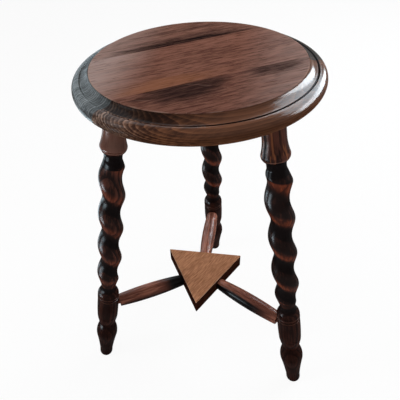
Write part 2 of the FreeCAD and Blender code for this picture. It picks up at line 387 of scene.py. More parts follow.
        def draw(sheet: Sheet, source: Any) -> dict[str, Socket]:
            """Keep stretches of warped cell walls as scratches and the middles of small cells as specks."""
            place = source["Place"]
            cloud = sheet.add("ShaderNodeTexNoise", {"Vector": place, "Scale": curl_scale, "Detail": 2.0})
            shift = {0: cloud.outputs["Color"], "Scale": curl}
            warp = sheet.add("ShaderNodeVectorMath", shift, operation="SCALE").outputs["Vector"]
            bent = {"Vector": sheet.vector("ADD", place, warp), "Scale": wall_scale}
            wall = sheet.add("ShaderNodeTexVoronoi", bent, feature="DISTANCE_TO_EDGE")
            line = sheet.rise(wall.outputs["Distance"], *scratch_width)
            kept = sheet.rise(sheet.noise(place, scratch_cloud, 1.0), *scratch_kept)
            cells = sheet.add("ShaderNodeTexVoronoi", {"Vector": place, "Scale": speck_scale})
            dot = sheet.rise(cells.outputs["Distance"], *speck_size)
            few = sheet.rise(sheet.noise(place, speck_cloud, 1.0), *speck_kept)
            return {"Scratch": sheet.times(line, kept), "Speck": sheet.times(dot, few)}

        return cls.group("hairlines", {"Place": cls.origin}, ("Scratch", "Speck"), draw)


def heart_rings(sheet: Sheet, place: Any, heart: Range, width: float, waver: float) -> Any:
    """Growth rings in a material. Sizes in millimetres.

    Args:
        sheet: The material's sheet.
        place: Place with X along the grain.
        heart: Where the heart line lies, across the grain and up.
        width: Width of a ring.
        waver: How far the rings waver.

    Returns:
        The ring and its tone, by name.
    """
    return sheet.effect(Effect.growth_rings(), {
        "Place": sheet.vector("SUBTRACT", place, (0.0, heart[0] * MM, heart[1] * MM)),
        "Width": width * MM,
        "Waver": waver * MM,
    })


def new_material(name: str) -> tuple[Material, Sheet, bpy.types.Node]:
    """Empty material with its shader.

    Args:
        name: Name of the finish.

    Returns:
        The material, its sheet and its Principled shader.
    """
    material = bpy.data.materials.new(name)
    material.use_nodes = True
    shader = material.node_tree.nodes["Principled BSDF"]
    return material, Sheet(material.node_tree), shader


@dataclass(frozen=True)
class Patch:
    """An oval of another tone in a board, in millimetres along and across the grain."""

    along: float
    across: float
    half_length: float
    half_width: float
    depth: float
    core: float = 0.45
    tint: Colour = tone(44, 31, 29)
    thinned: float = 0.72

    def mask(self, sheet: Sheet, place: Any, level: float, dashes: Any) -> Socket:
        """Share of the patch's tint.

        Args:
            sheet: The material's sheet.
            place: Place with X along the grain.
            level: Height of the patch's middle, in millimetres.
            dashes: Dashes of the grain, which thin the patch.

        Returns:
            The share at that place.
        """
        smoke = sheet.effect(Effect.smoky_patch(), {
            "Place": place,
            "Centre": (self.along * MM, self.across * MM, level * MM),
            "Reach": (self.half_length * MM, self.half_width * MM, 1.0),
            "Core": self.core,
        })
        return sheet.times(smoke["Patch"], sheet.span(dashes, self.depth, self.thinned * self.depth))


@dataclass(frozen=True)
class BoardFinish:
    """Worn satin top and polished moulding of one seat board. Sizes and places in millimetres."""

    name: str
    slot: str
    heart: Range
    ring_width: float
    waver: float
    face_pale: Colour
    face_deep: Colour
    edge_pale: Colour
    edge_deep: Colour
    patches: tuple[Patch, ...] = ()
    smoke: Colour = tone(36, 20, 16)
    scratch: Colour = tone(176, 142, 126)
    # Painted sheen at the boards' ends, and its share at the left and the right end; it stands in for a
    # reflection.
    painted_sheen: Colour = tone(181, 161, 155)
    left_sheen: float = 0.7
    right_sheen: float = 0.34
    # Pale and deep tones of a painted sheen and reflection on the moulding's left end, grey-blue unless a
    # board sets its own.
    edge_sheen_pale: Colour = tone(140, 144, 145)
    edge_sheen_deep: Colour = tone(54, 55, 55)
    # Colour of the cove and the quirk, darkened by dirty polish and by painted shade.
    dirt_and_shade: Colour = tone(20, 15, 14)
    arris_shade: float = 0.5
    scratch_shade: float = 0.3
    speck_shade: float = 0.6
    pore_shade: float = 0.6
    groove_shade: float = 0.95
    cove_shade: float = 0.6
    face_rings: Range = (0.05, 0.25)
    edge_rings: Range = (0.25, 0.75)
    edge_fibre: float = 0.4
    band_step: Range = (0.05, 0.95)
    calm_end: float = 0.35
    mean_band: float = 0.45
    edge_gloss: float = 0.17
    worn_gloss: float = 0.45
    under_gloss: float = 0.04
    cove_gloss: float = 0.2
    quirk_gloss: float = 0.05
    satin: Range = (0.36, 0.48)
    polish: Range = (0.24, 0.38)
    coat_roughness: float = 0.16
    bump_strength: float = 0.35
    bump_depth: float = 0.12
    ring_height: float = 0.5
    satin_cloud: float = 35.0
    polish_cloud: float = 45.0
    arris_cloud: float = 60.0
    arris_step: Range = (0.35, 0.6)
    sheen_fibre: Range = (0.75, 1.15)
    fibre_share: float = 0.25
    cloud_share: float = 0.2
    dash_share: float = 0.55
    cloud: Streak = Streak(6.0, 34.0, 4.0, 0.55)
    dash: Streak = Streak(48.0, 430.0, 5.0, 0.75)
    dash_step: Range = (0.38, 0.6)
    sheen_start: Range = (35.0, 108.0)
    sheen_turn: Range = (-20.0, 20.0)
    calm_side: Range = (-30.0, 50.0)
    sheen_side: Range = (-12.0, -92.0)
    thin_side: Range = (50.0, -30.0)
    dark_cove: Range = (40.0, -30.0)
    dark_quirk: Range = (-40.0, 30.0)
    flat_edge: Range = (-0.9, -0.35)
    rubbed_arris: Range = (-1.5, -0.3)
    quirk_blur: float = 0.3
    polish_rise: float = 5.0

    def face_colour(
        self, sheet: Sheet, seat: "Seat", place: Any, along: Any, rings: Any, fibres: Any
    ) -> Socket:
        """Colour of the flat top: streaky grain, dark heartwood and a painted sheen at the boards' ends.

        Args:
            sheet: The material's sheet.
            seat: The seat.
            place: Place with X along the grain.
            along: The seat's own X at that place.
            rings: Outputs of the growth rings.
            fibres: Outputs of the fibres.

        Returns:
            The colour.
        """
        cloud = self.cloud.draw(sheet, place)
        dashes = sheet.rise(self.dash.draw(sheet, place), *self.dash_step)
        grain = sheet.weighed(
            (fibres["Fibre"], self.fibre_share), (cloud, self.cloud_share), (dashes, self.dash_share)
        )
        face = sheet.blend(grain, self.face_deep, self.face_pale)
        late = sheet.times(rings["Ring"], sheet.span(rings["Tone"], *self.face_rings))
        face = sheet.blend(late, face, self.face_deep)
        # Painted sheen at the boards' ends, stronger at the left end, in place of a reflection.
        end = sheet.ramp(sheet.math("ABSOLUTE", along), self.sheen_start)
        side = sheet.span(sheet.ramp(along, self.sheen_turn), self.left_sheen, self.right_sheen)
        sheen_share = sheet.times(end, side, sheet.span(fibres["Fibre"], *self.sheen_fibre))
        face = sheet.blend(sheen_share, face, self.painted_sheen)
        for patch in self.patches:
            face = sheet.blend(patch.mask(sheet, place, seat.top, dashes), face, patch.tint)
        return sheet.blend(sheet.times(fibres["Pore"], self.pore_shade), face, self.smoke)

    def marks(self, sheet: Sheet, seat: "Seat", source: Any, radius: Any) -> Socket:
        """Mask of what shows pale on the flat top: its arris, paled by use, hairline scratches and specks."""
        lines = sheet.effect(Effect.hairlines(), {"Place": source})
        inner, outer = (seat.flat_radius + offset for offset in self.rubbed_arris)
        patchy = sheet.rise(sheet.noise(source, self.arris_cloud, 2.0), *self.arris_step)
        arris = sheet.times(sheet.ramp(radius, (inner, outer)), patchy, self.arris_shade)
        scratch = sheet.times(lines["Scratch"], self.scratch_shade)
        return sheet.most(arris, scratch, sheet.times(lines["Speck"], self.speck_shade))

    def dirt_and_shade_masks(self, sheet: Sheet, seat: "Seat", radius: Any, along: Any) -> tuple[Socket, Socket]:
        """Masks of the moulding's cove and quirk, darkened by dirty polish and by painted shade.

        Args:
            sheet: The material's sheet.
            seat: The seat.
            radius: Distance from the seat's middle.
            along: The seat's own X.

        Returns:
            Masks of the cove and of the quirk, each darkened by dirty polish and painted shade.
        """
        nose = seat.radius - seat.nose_radius
        ledge = nose - seat.quirk_width
        inner = sheet.ramp(radius, (ledge, ledge - 2 * self.quirk_blur))
        outer = sheet.ramp(radius, (nose + self.quirk_blur, nose - self.quirk_blur))
        groove = sheet.math("SUBTRACT", outer, inner)
        cove = sheet.times(inner, sheet.ramp(along, self.dark_cove), self.cove_shade)
        return cove, sheet.times(groove, sheet.ramp(along, self.dark_quirk), self.groove_shade)

    def edge_colour(self, sheet: Sheet, along: Any, rings: Any, fibres: Any) -> Socket:
        """Colour of the moulding: bands of the rings, calmer at the right, and a painted sheen and reflection
        at the left.

        Args:
            sheet: The material's sheet.
            along: The seat's own X.
            rings: Outputs of the growth rings.
            fibres: Outputs of the fibres.

        Returns:
            The colour.
        """
        calm = sheet.span(sheet.ramp(along, self.calm_side), 1.0, self.calm_end)
        late = sheet.times(rings["Ring"], sheet.span(rings["Tone"], *self.edge_rings))
        grain = sheet.weighed((late, 1.0), (fibres["Fibre"], self.edge_fibre))
        sway = sheet.math("SUBTRACT", grain, self.mean_band)
        bands = sheet.math("MULTIPLY_ADD", sway, calm, self.mean_band)
        # Painted sheen and reflection: the moulding's tones turn paler towards the left end.
        worn = sheet.ramp(along, self.sheen_side)
        pale = sheet.blend(worn, self.edge_pale, self.edge_sheen_pale)
        deep = sheet.blend(worn, self.edge_deep, self.edge_sheen_deep)
        return sheet.blend(sheet.rise(bands, *self.band_step), deep, pale)

    def material(self, seat: "Seat") -> Material:
        """Material of the board.

        Args:
            seat: The seat, for the grain's direction and the places of its edges.

        Returns:
            The new material.
        """
        material, sheet, shader = new_material(self.name)
        source, place = sheet.grain_places(seat.grain)
        axes = sheet.axes(source)
        radius = sheet.length(source, (1.0, 1.0, 0.0))
        rings = heart_rings(sheet, place, self.heart, self.ring_width, self.waver)
        fibres = sheet.effect(Effect.fibres(), {"Place": place})
        low, high = (seat.top + offset for offset in self.flat_edge)
        flat = sheet.ramp(axes["Z"], (low, high))
        face = self.face_colour(sheet, seat, place, axes["X"], rings, fibres)
        face = sheet.blend(self.marks(sheet, seat, source, radius), face, self.scratch)
        edge = self.edge_colour(sheet, axes["X"], rings, fibres)
        # The cove and the quirk darken: dirty polish with painted shade.
        cove, quirk = self.dirt_and_shade_masks(sheet, seat, radius, axes["X"])
        for mask in (cove, quirk):
            edge = sheet.blend(mask, edge, self.dirt_and_shade)

        satin = sheet.span(sheet.noise(source, self.satin_cloud), *self.satin)
        polish = sheet.span(sheet.noise(source, self.polish_cloud), *self.polish)
        middle = seat.underside + seat.nose_radius
        above = sheet.ramp(axes["Z"], (middle, middle + self.polish_rise))
        gloss = sheet.times(
            sheet.math("SUBTRACT", 1.0, flat),
            sheet.span(sheet.ramp(axes["X"], self.thin_side), 1.0, self.worn_gloss),
            sheet.span(cove, 1.0, self.cove_gloss),
            sheet.span(quirk, 1.0, self.quirk_gloss),
            sheet.span(above, self.under_gloss, self.edge_gloss),
        )
        raised_rings = (rings["Ring"], self.ring_height)
        sheet.feed(shader, {
            "Base Color": sheet.blend(flat, edge, face),
            "Roughness": sheet.span(flat, polish, satin),
            "Normal": sheet.bump(fibres, self.bump_strength, self.bump_depth, raised_rings),
            "Coat Weight": gloss,
            "Coat Roughness": self.coat_roughness,
            "Specular IOR Level": 0.0,
        })
        return material


@dataclass(frozen=True)
class TurnedFinish:
    """Dark polish of a turned piece, black in the hollows from dark polish and painted shade, with a painted
    red bounce light below the swellings.
    """

    name: str
    slot: str
    brown: Colour
    deep: Colour
    black: Colour
    # Red of a painted bounce light below the swellings.
    rubbed: Colour
    # Pale of painted light: glints at the ring edges, a line round the collar's rim and a sheen on the left
    # leg's collar.
    bare: Colour
    ring_width: float
    streaks: float
    gloss: float
    dull: float
    dusk: Colour
    foot_shade: float = 0.0
    barrel_shade: float = 0.0
    collar_stripes: float = 0.0
    stripe: Colour = tone(160, 98, 64)
    ring_waver: float = 1.5
    pore_shade: float = 0.4
    upper_shade: float = 0.45
    raggedness: float = 0.4
    underside: Range = (-0.08, 0.26)
    overhang: Range = (-0.72, -0.42)
    swelling: Range = (0.95, 0.5)
    sunk: Range = (0.74, 1.02)
    upper_side: Range = (-0.05, 0.35)
    dip: Range = (0.05, 0.4)
    blackened: Range = (0.15, 0.65)
    pale_darkness: Range = (-0.5, -0.8)
    striped_stain: Range = (-0.65, -0.3)
    glow_darkness: Range = (-0.12, 0.4)
    bright_stripe: Range = (0.6, 0.68)
    dark_stripe: Range = (0.46, 0.38)
    polished: Range = (0.85, 0.45)
    roughness: Range = (0.2, 0.36)
    glow_roughness: float = 0.15
    coat_roughness: float = 0.2
    bump_strength: float = 0.4
    bump_depth: float = 0.2
    cloud_height: float = 2.0
    cloud_share: float = 0.6
    fibre_share: float = 0.4
    stain_share: float = -0.6
    streak_step: Range = (0.2, 0.7)
    glow_streak: Range = (0.15, 1.0)
    pale_cloud: Range = (0.25, 0.7)
    slope_sink: float = 0.3
    stain_slope: float = 0.1
    uneven_cloud: float = 70.0
    uneven_step: Range = (0.3, 0.62)
    uneven_gloss: Range = (0.5, 1.0)
    cloud: Streak = Streak(9.0, 60.0, 4.0, 0.6)
    collar_grain: Streak = Streak(3.0, 320.0, 1.0, 0.4)
    foot_top: Range = (96.0, 84.0)
    barrel_top: Range = (170.0, 150.0)
    collar_foot: Range = (382.0, 388.0)

    def tone_marks(self, sheet: Sheet, cloud: Any, darkness: Any, hollow: Any) -> tuple[Socket, Socket]:
        """Masks that follow the turning.

        Args:
            sheet: The material's sheet.
            cloud: Uneven value that makes the masks ragged.
            darkness: How much darker the piece is drawn, below nought where it is drawn paler.
            hollow: Depth below the swellings.

        Returns:
            Masks of the painted bounce light under the swellings, and of the black hollows, from dark polish
            and painted shade.
        """
        slope = sheet.own("slope")
        ragged = sheet.swing(cloud, self.raggedness)
        lower = sheet.math("SUBTRACT", ragged, sheet.weighed((slope, 1.0), (darkness, self.stain_slope)))
        # Painted bounce light: the undersides of the swellings are drawn a paler red.
        under = sheet.times(sheet.rise(lower, *self.underside), sheet.rise(slope, *self.overhang))
        rubbed = sheet.times(under, sheet.rise(hollow, *self.swelling))
        # Hollows drawn black: dark polish, with painted shade.
        sunk = sheet.weighed((hollow, 1.0), (slope, self.slope_sink), (ragged, 1.0))
        sunk = sheet.rise(sunk, *self.sunk)
        upper = sheet.rise(sheet.math("ADD", slope, ragged), *self.upper_side)
        shaded = sheet.times(upper, sheet.rise(hollow, *self.dip), self.upper_shade)
        # Black where the piece is drawn darker; along the stretchers' undersides that is painted shade.
        blackened = sheet.rise(sheet.math("ADD", darkness, ragged), *self.blackened)
        blackened = sheet.times(blackened, sheet.math("SUBTRACT", 1.0, rubbed))
        return rubbed, sheet.most(sunk, blackened, shaded)

    def stripes(self, sheet: Sheet, place: Any, height: Any, darkness: Any) -> tuple[Socket, Socket]:
        """Masks of the bright and of the dark stripes down a collar.

        Args:
            sheet: The material's sheet.
            place: Place with X along the grain.
            height: Height above the floor.
            darkness: How much darker the piece is drawn.

        Returns:
            The two masks.
        """
        stripe = self.collar_grain.draw(sheet, place)
        collar = sheet.times(sheet.ramp(height, self.collar_foot), self.collar_stripes)
        collar = sheet.times(collar, sheet.rise(darkness, *self.striped_stain))
        bright = sheet.times(sheet.rise(stripe, *self.bright_stripe), collar)
        return bright, sheet.times(sheet.rise(stripe, *self.dark_stripe), collar)

    def material(self) -> Material:
        """Material that reads the piece's own grain, hollow, slope and darkness."""
        material, sheet, shader = new_material(self.name)
        source = sheet.add("ShaderNodeTexCoord").outputs["Object"]
        height = sheet.axes(source)["Z"]
        place = sheet.own("grain_place", "Vector")
        darkness = sheet.own("darkness")
        hollow = sheet.own("hollow")
        rings = heart_rings(sheet, place, (0.0, 0.0), self.ring_width, self.ring_waver * self.ring_width)
        fibres = sheet.effect(Effect.fibres(), {"Place": place})
        cloud = self.cloud.draw(sheet, place)
        streak = sheet.weighed(
            (cloud, self.cloud_share),
            (fibres["Fibre"], self.fibre_share),
            (rings["Ring"], -self.streaks),
            (darkness, self.stain_share),
        )
        rubbed, black = self.tone_marks(sheet, cloud, darkness, hollow)
        # Painted bounce light below the swellings.
        worn = sheet.times(
            rubbed, sheet.span(streak, *self.glow_streak), sheet.rise(darkness, *self.glow_darkness)
        )
        foot = sheet.times(sheet.ramp(height, self.foot_top), self.foot_shade)
        barrel = sheet.times(sheet.ramp(height, self.barrel_top), self.barrel_shade)
        low = sheet.most(foot, barrel)
        # Painted pale light: ring-edge glints, the collar's rim line and the left collar's sheen.
        bare = sheet.times(sheet.rise(darkness, *self.pale_darkness), sheet.rise(cloud, *self.pale_cloud))
        bright, dark = self.stripes(sheet, place, height, darkness)
        colour = sheet.blend(sheet.rise(streak, *self.streak_step), self.deep, self.brown)
        layers = (
            (worn, self.rubbed),
            (black, self.black),
            (sheet.times(fibres["Pore"], self.pore_shade), self.black),
            (low, self.dusk),
            (bare, self.bare),
            (bright, self.stripe),
            (dark, self.black),
        )
        for mask, tint in layers:
            colour = sheet.blend(mask, colour, tint)

        uneven = sheet.rise(sheet.noise(source, self.uneven_cloud, 2.0), *self.uneven_step)
        uneven = sheet.span(uneven, *self.uneven_gloss)
        thick = sheet.times(sheet.rise(hollow, *self.polished), sheet.math("SUBTRACT", 1.0, low))
        roughness = sheet.span(cloud, *self.roughness)
        sheet.feed(shader, {
            "Base Color": colour,
            "Roughness": sheet.weighed((roughness, 1.0), (rubbed, self.glow_roughness)),
            "Normal": sheet.bump(fibres, self.bump_strength, self.bump_depth, (cloud, self.cloud_height)),
            "Coat Weight": sheet.times(uneven, sheet.span(thick, self.dull, self.gloss)),
            "Coat Roughness": self.coat_roughness,
            "Specular IOR Level": 0.0,
        })
        return material


@dataclass(frozen=True)
class BlockFinish:
    """Bare-looking tan top with straight grain, dark stained sides and arrises paled by use."""

    name: str = "block_tan"
    slot: str = "block"
    grain: float = math.radians(60.0)
    heart: Range = (-90.0, -110.0)
    ring_width: float = 2.6
    waver: float = 4.0
    fineness: float = 1.6
    pale: Colour = tone(202, 143, 106)
    deep: Colour = tone(160, 108, 79)
    side: Colour = tone(40, 20, 14)
    side_pale: Colour = tone(72, 38, 27)
    worn: Colour = tone(196, 160, 138)
    cloud: Streak = Streak(6.0, 30.0, 3.0)
    dash: Streak = Streak(65.0, 640.0, 3.0, 0.6)
    dash_share: float = 0.7
    grain_step: Range = (0.4, 0.6)
    ring_shade: float = 0.12
    side_shade: float = 0.5
    worn_shade: float = 0.7
    worn_cloud: float = 90.0
    worn_step: Range = (0.3, 0.55)
    pore_shade: float = 0.35
    roughness: Range = (0.42, 0.56)
    bump_strength: float = 0.3
    bump_depth: float = 0.12
    top_edge: Range = (-0.9, -0.3)

    def material(self, top: float) -> Material:
        """Material of the block.

        Args:
            top: Height of its top face, in millimetres.

        Returns:
            The new material.
        """
        material, sheet, shader = new_material(self.name)
        source, place = sheet.grain_places(self.grain)
        rings = heart_rings(sheet, place, self.heart, self.ring_width, self.waver)
        fibres = sheet.effect(Effect.fibres(), {"Place": place, "Fineness": self.fineness})
        low, high = (top + offset for offset in self.top_edge)
        upper = sheet.ramp(sheet.axes(source)["Z"], (low, high))
        cloud = self.cloud.draw(sheet, place)
        dashes = self.dash.draw(sheet, place)
        grain = sheet.weighed((dashes, self.dash_share), (cloud, 1 - self.dash_share))
        face = sheet.blend(sheet.rise(grain, *self.grain_step), self.deep, self.pale)
        face = sheet.blend(sheet.times(rings["Ring"], self.ring_shade), face, self.deep)
        side = sheet.blend(sheet.times(fibres["Fibre"], self.side_shade), self.side, self.side_pale)
        colour = sheet.blend(upper, side, face)
        patchy = sheet.rise(sheet.noise(source, self.worn_cloud), *self.worn_step)
        tone_marks = sheet.times(sheet.own("arris"), patchy, upper, self.worn_shade)
        colour = sheet.blend(tone_marks, colour, self.worn)
        colour = sheet.blend(sheet.times(fibres["Pore"], self.pore_shade), colour, self.side)
        sheet.feed(shader, {
            "Base Color": colour,
            "Roughness": sheet.span(cloud, *self.roughness),
            "Normal": sheet.bump(fibres, self.bump_strength, self.bump_depth),
            "Specular IOR Level": 0.0,
        })
        return material


@dataclass(frozen=True)
class DowelFinish:
    """Bare pale wood of the dowels hidden in the seat."""

    name: str = "dowel_bare"
    pale: Colour = tone(198, 164, 120)
    deep: Colour = tone(160, 122, 82)
    roughness: Range = (0.75, 0.6)

    def material(self, grain: float) -> Material:
        """Material of the dowels, whose fibres run across the boards' grain."""
        material, sheet, shader = new_material(self.name)
        place = sheet.grain_places(grain + math.pi / 2)[1]
        fibre = sheet.effect(Effect.fibres(), {"Place": place})["Fibre"]
        colour = sheet.blend(fibre, self.deep, self.pale)
        sheet.feed(shader, {"Base Color": colour, "Roughness": sheet.span(fibre, *self.roughness)})
        return material


@dataclass
class Outline:
    """Half outline of a turned piece in millimetres, drawn upwards along its axis."""

    radius: float
    height: float
    step: float = 1.3
    points: list[tuple[float, float]] = field(default_factory=list)

    def __post_init__(self) -> None:
        """Start the outline where it is."""
        self.points.append((self.radius, self.height))

    def line(self, radius: float, rise: float = 0.0) -> None:
        """Straight run to a radius, so much higher."""
        count = max(1, math.ceil(math.hypot(radius - self.radius, rise) / self.step))
        start = (self.radius, self.height)
        for index in range(1, count + 1):
            share = index / count
            self.points.append((start[0] + (radius - start[0]) * share, start[1] + rise * share))
        self.radius, self.height = radius, start[1] + rise

    def arc(self, radius: float, rise: float, via_radius: float, via_rise: float) -> None:
        """Arc to a radius, so much higher, through a point on the way.

        Args:
            radius: Radius at the end.
            rise: Height gained at the end.
            via_radius: Radius of the point on the way.
            via_rise: Height gained at that point.
        """
        start = complex(self.radius, self.height)
        via = complex(via_radius, self.height + via_rise)
        end = complex(radius, self.height + rise)
        ratio = (end - start) / (via - start)
        centre = (via - start) * (ratio - abs(ratio) ** 2) / (2j * ratio.imag) + start
        first, middle, last = (start - centre, via - centre, end - centre)
        half = math.atan2((middle / first).imag, (middle / first).real)
        rest = math.atan2((last / middle).imag, (last / middle).real)
        sweep = half + rest
        count = max(3, math.ceil(abs(sweep) * abs(first) / self.step))
        for index in range(1, count + 1):
            angle = sweep * index / count
            point = centre + first * complex(math.cos(angle), math.sin(angle))
            self.points.append((point.real, point.imag))
        self.radius, self.height = radius, end.imag

    def bow(self, radius: float, rise: float, swell: float) -> None:
        """Arc to a radius, so much higher, that stands off its chord by a swell."""
        self.arc(radius, rise, (self.radius + radius) / 2 + swell, rise / 2)

    def groove(self, width: float, depth: float) -> None:
        """Rounded groove across the outline, back out to the same radius."""
        self.bow(self.radius, width, -depth)


def turned_piece(name: str, outline: Outline, sides: int) -> Piece:
    """Spin an outline about the upright axis through the origin.

    Args:
        name: Name of the piece.
        outline: Its half outline, which starts and ends on the axis.
        sides: Faces round the piece.

    Returns:
        The closed piece.
    """
    bpy.ops.object.select_all(action="DESELECT")
    bpy.ops.mesh.primitive_circle_add(vertices=len(outline.points))
    piece = bpy.context.object
    piece.name = piece.data.name = name
    for vertex, (radius, height) in zip(piece.data.vertices, outline.points):
        vertex.co = (radius * MM, 0.0, height * MM)
    bpy.ops.object.mode_set(mode="EDIT")
    bpy.ops.mesh.select_all(action="SELECT")
    bpy.ops.mesh.spin(steps=sides, angle=FULL_TURN, center=(0, 0, 0), axis=(0, 0, 1), use_auto_merge=True)
    bpy.ops.mesh.select_all(action="SELECT")
    bpy.ops.mesh.remove_doubles(threshold=WELD_DISTANCE * MM)
    bpy.ops.mesh.delete_loose(use_verts=True, use_edges=True, use_faces=False)
    bpy.ops.mesh.select_all(action="SELECT")
    bpy.ops.mesh.normals_make_consistent(inside=False)
    bpy.ops.object.mode_set(mode="OBJECT")
    return piece


def select_only(piece: Piece) -> None:
    """Select one piece alone and make it the active one."""
    bpy.ops.object.select_all(action="DESELECT")
    piece.select_set(True)
    bpy.context.view_layer.objects.active = piece


def trim(piece: Piece, place: Vector, away: Vector) -> None:
    """Saw a piece off at a plane and close the cut.

    Args:
        piece: The piece, at the origin.
        place: A point on the plane, in metres.
        away: Direction of the side that is taken off.
    """
    select_only(piece)
    bpy.ops.object.mode_set(mode="EDIT")
    bpy.ops.mesh.select_all(action="SELECT")
    bpy.ops.mesh.bisect(plane_co=place, plane_no=away, use_fill=True, clear_outer=True)
    bpy.ops.object.mode_set(mode="OBJECT")


def smooth(piece: Piece, angle_deg: float) -> None:
    """Shade a piece smooth except at edges sharper than an angle."""
    select_only(piece)
    bpy.ops.object.shade_smooth_by_angle(angle=math.radians(angle_deg))


def copied(piece: Piece, name: str) -> Piece:
    """Copy of a piece with its own mesh."""
    copy = piece.copy()
    copy.data = piece.data.copy()
    copy.name = copy.data.name = name
    bpy.context.scene.collection.objects.link(copy)
    return copy


def remove(piece: Piece) -> None:
    """Take away a piece that was only a pattern for others."""
    mesh = piece.data
    bpy.data.objects.remove(piece)
    bpy.data.meshes.remove(mesh)


def points_of(piece: Piece) -> np.ndarray:
    """Places of a piece's points in millimetres, one row each."""
    flat = np.empty(len(piece.data.vertices) * 3)
    piece.data.vertices.foreach_get("co", flat)
    return flat.reshape(-1, 3) / MM


def set_points(piece: Piece, places: np.ndarray) -> None:
    """Move a piece's points to places given in millimetres."""
    piece.data.vertices.foreach_set("co", (places * MM).ravel())
    piece.data.update()


def keep_values(piece: Piece, name: str, values: np.ndarray) -> None:
    """Store one number, or one vector, for each point of a piece."""
    is_vector = values.ndim == 2
    attribute = piece.data.attributes.new(name, "FLOAT_VECTOR" if is_vector else "FLOAT", "POINT")
    attribute.data.foreach_set("vector" if is_vector else "value", values.astype(np.float32).ravel())


def normals_of(piece: Piece) -> np.ndarray:
    """Normals at a piece's points, one row each."""
    flat = np.empty(len(piece.data.vertices) * 3)
    piece.data.vertex_normals.foreach_get("vector", flat)
    return flat.reshape(-1, 3)


def soft_step(values: np.ndarray, low: float, high: float) -> np.ndarray:
    """Soft step from nought at low to one at high."""
    share = np.clip((values - low) / (high - low), 0.0, 1.0)
    return share * share * (3 - 2 * share)


def soft_least(first: np.ndarray, second: np.ndarray, blend: float) -> np.ndarray:
    """Lesser of two values, rounded off where they are within a blend of each other."""
    share = np.clip(0.5 + 0.5 * (second - first) / blend, 0.0, 1.0)
    return second + (first - second) * share - blend * share * (1 - share)


def dress(piece: Piece, node: str, material: Material) -> None:
    """Give a piece its material and let it stand for its solid.

    Args:
        piece: The finished piece.
        node: The solid that it stands for.
        material: The finish.
    """
    piece.data.materials.clear()
    piece.data.materials.append(material)
    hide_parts(node)
    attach(piece, BODY)
    log.info("%s: %d faces, %s", piece.name, len(piece.data.polygons), material.name)


@dataclass
class Seat:
    """Round seat of three boards with a moulded edge. Sizes in millimetres."""

    top: float
    underside: float
    radius: float
    middle_width: float = 92.5
    grain: float = math.radians(30.5)
    arris_step: float = 0.8
    arris_round: float = 0.45
    cove_width: float = 8.1
    cove_hollow: float = 1.7
    ledge_width: float = 0.8
    quirk_width: float = 1.8
    quirk_depth: float = 0.8
    moulding_drop: float = 6.2
    crease_deg: float = 40.0
    sides: int = 360

    @property
    def nose_radius(self) -> float:
        """Radius of the rounded nose."""
        return (self.top - self.underside - self.moulding_drop) / 2

    @property
    def flat_radius(self) -> float:
        """Radius of the flat top."""
        return self.radius - self.nose_radius - self.quirk_width - self.ledge_width - self.cove_width

    def disc(self) -> Piece:
        """Whole seat as one turned disc, before it is parted into boards."""
        outline = Outline(0.0, self.underside, step=1.1)
        quirk_outside = self.radius - self.nose_radius
        ledge_outside = quirk_outside - self.quirk_width
        cove_outside = ledge_outside - self.ledge_width
        outline.points.append((quirk_outside, self.underside))
        outline.radius = quirk_outside
        outline.arc(quirk_outside, 2 * self.nose_radius, self.radius, self.nose_radius)
        outline.line(quirk_outside - self.quirk_width / 2, -self.quirk_depth)
        outline.line(ledge_outside, self.quirk_depth)
        outline.line(cove_outside)
        outline.bow(self.flat_radius, self.moulding_drop - self.arris_step, -self.cove_hollow)
        outline.line(self.flat_radius, self.arris_step - self.arris_round)
        inner = self.flat_radius - self.arris_round
        eighth = self.arris_round * math.sin(math.pi / 4)
        outline.arc(inner, self.arris_round, inner + eighth, eighth)
        outline.points.append((0.0, self.top))
        return turned_piece("seat_pattern", outline, self.sides)

    def build(self) -> dict[Board, Piece]:
        """Part the disc along the two seams.

        Returns:
            Each board's mesh.
        """
        pattern = self.disc()
        across = Vector((-math.sin(self.grain), math.cos(self.grain), 0.0))
        seam = across * self.middle_width / 2 * MM
        cuts = {
            Board.BACK: [(seam, -across)],
            Board.MIDDLE: [(seam, across), (-seam, -across)],
            Board.FRONT: [(-seam, across)],
        }
        boards = {}
        for board, planes in cuts.items():
            piece = copied(pattern, f"{board.value}_board")
            for place, away in planes:
                trim(piece, place, away)
            smooth(piece, self.crease_deg)
            boards[board] = piece
        remove(pattern)
        return boards

    def dress(self, boards: dict[Board, Piece], finishes: dict[Board, BoardFinish]) -> None:
        """Give each board its finish."""
        for board, piece in boards.items():
            finish = finishes[board]
            dress(piece, f"seat_board_{board.value}", finish.material(self))


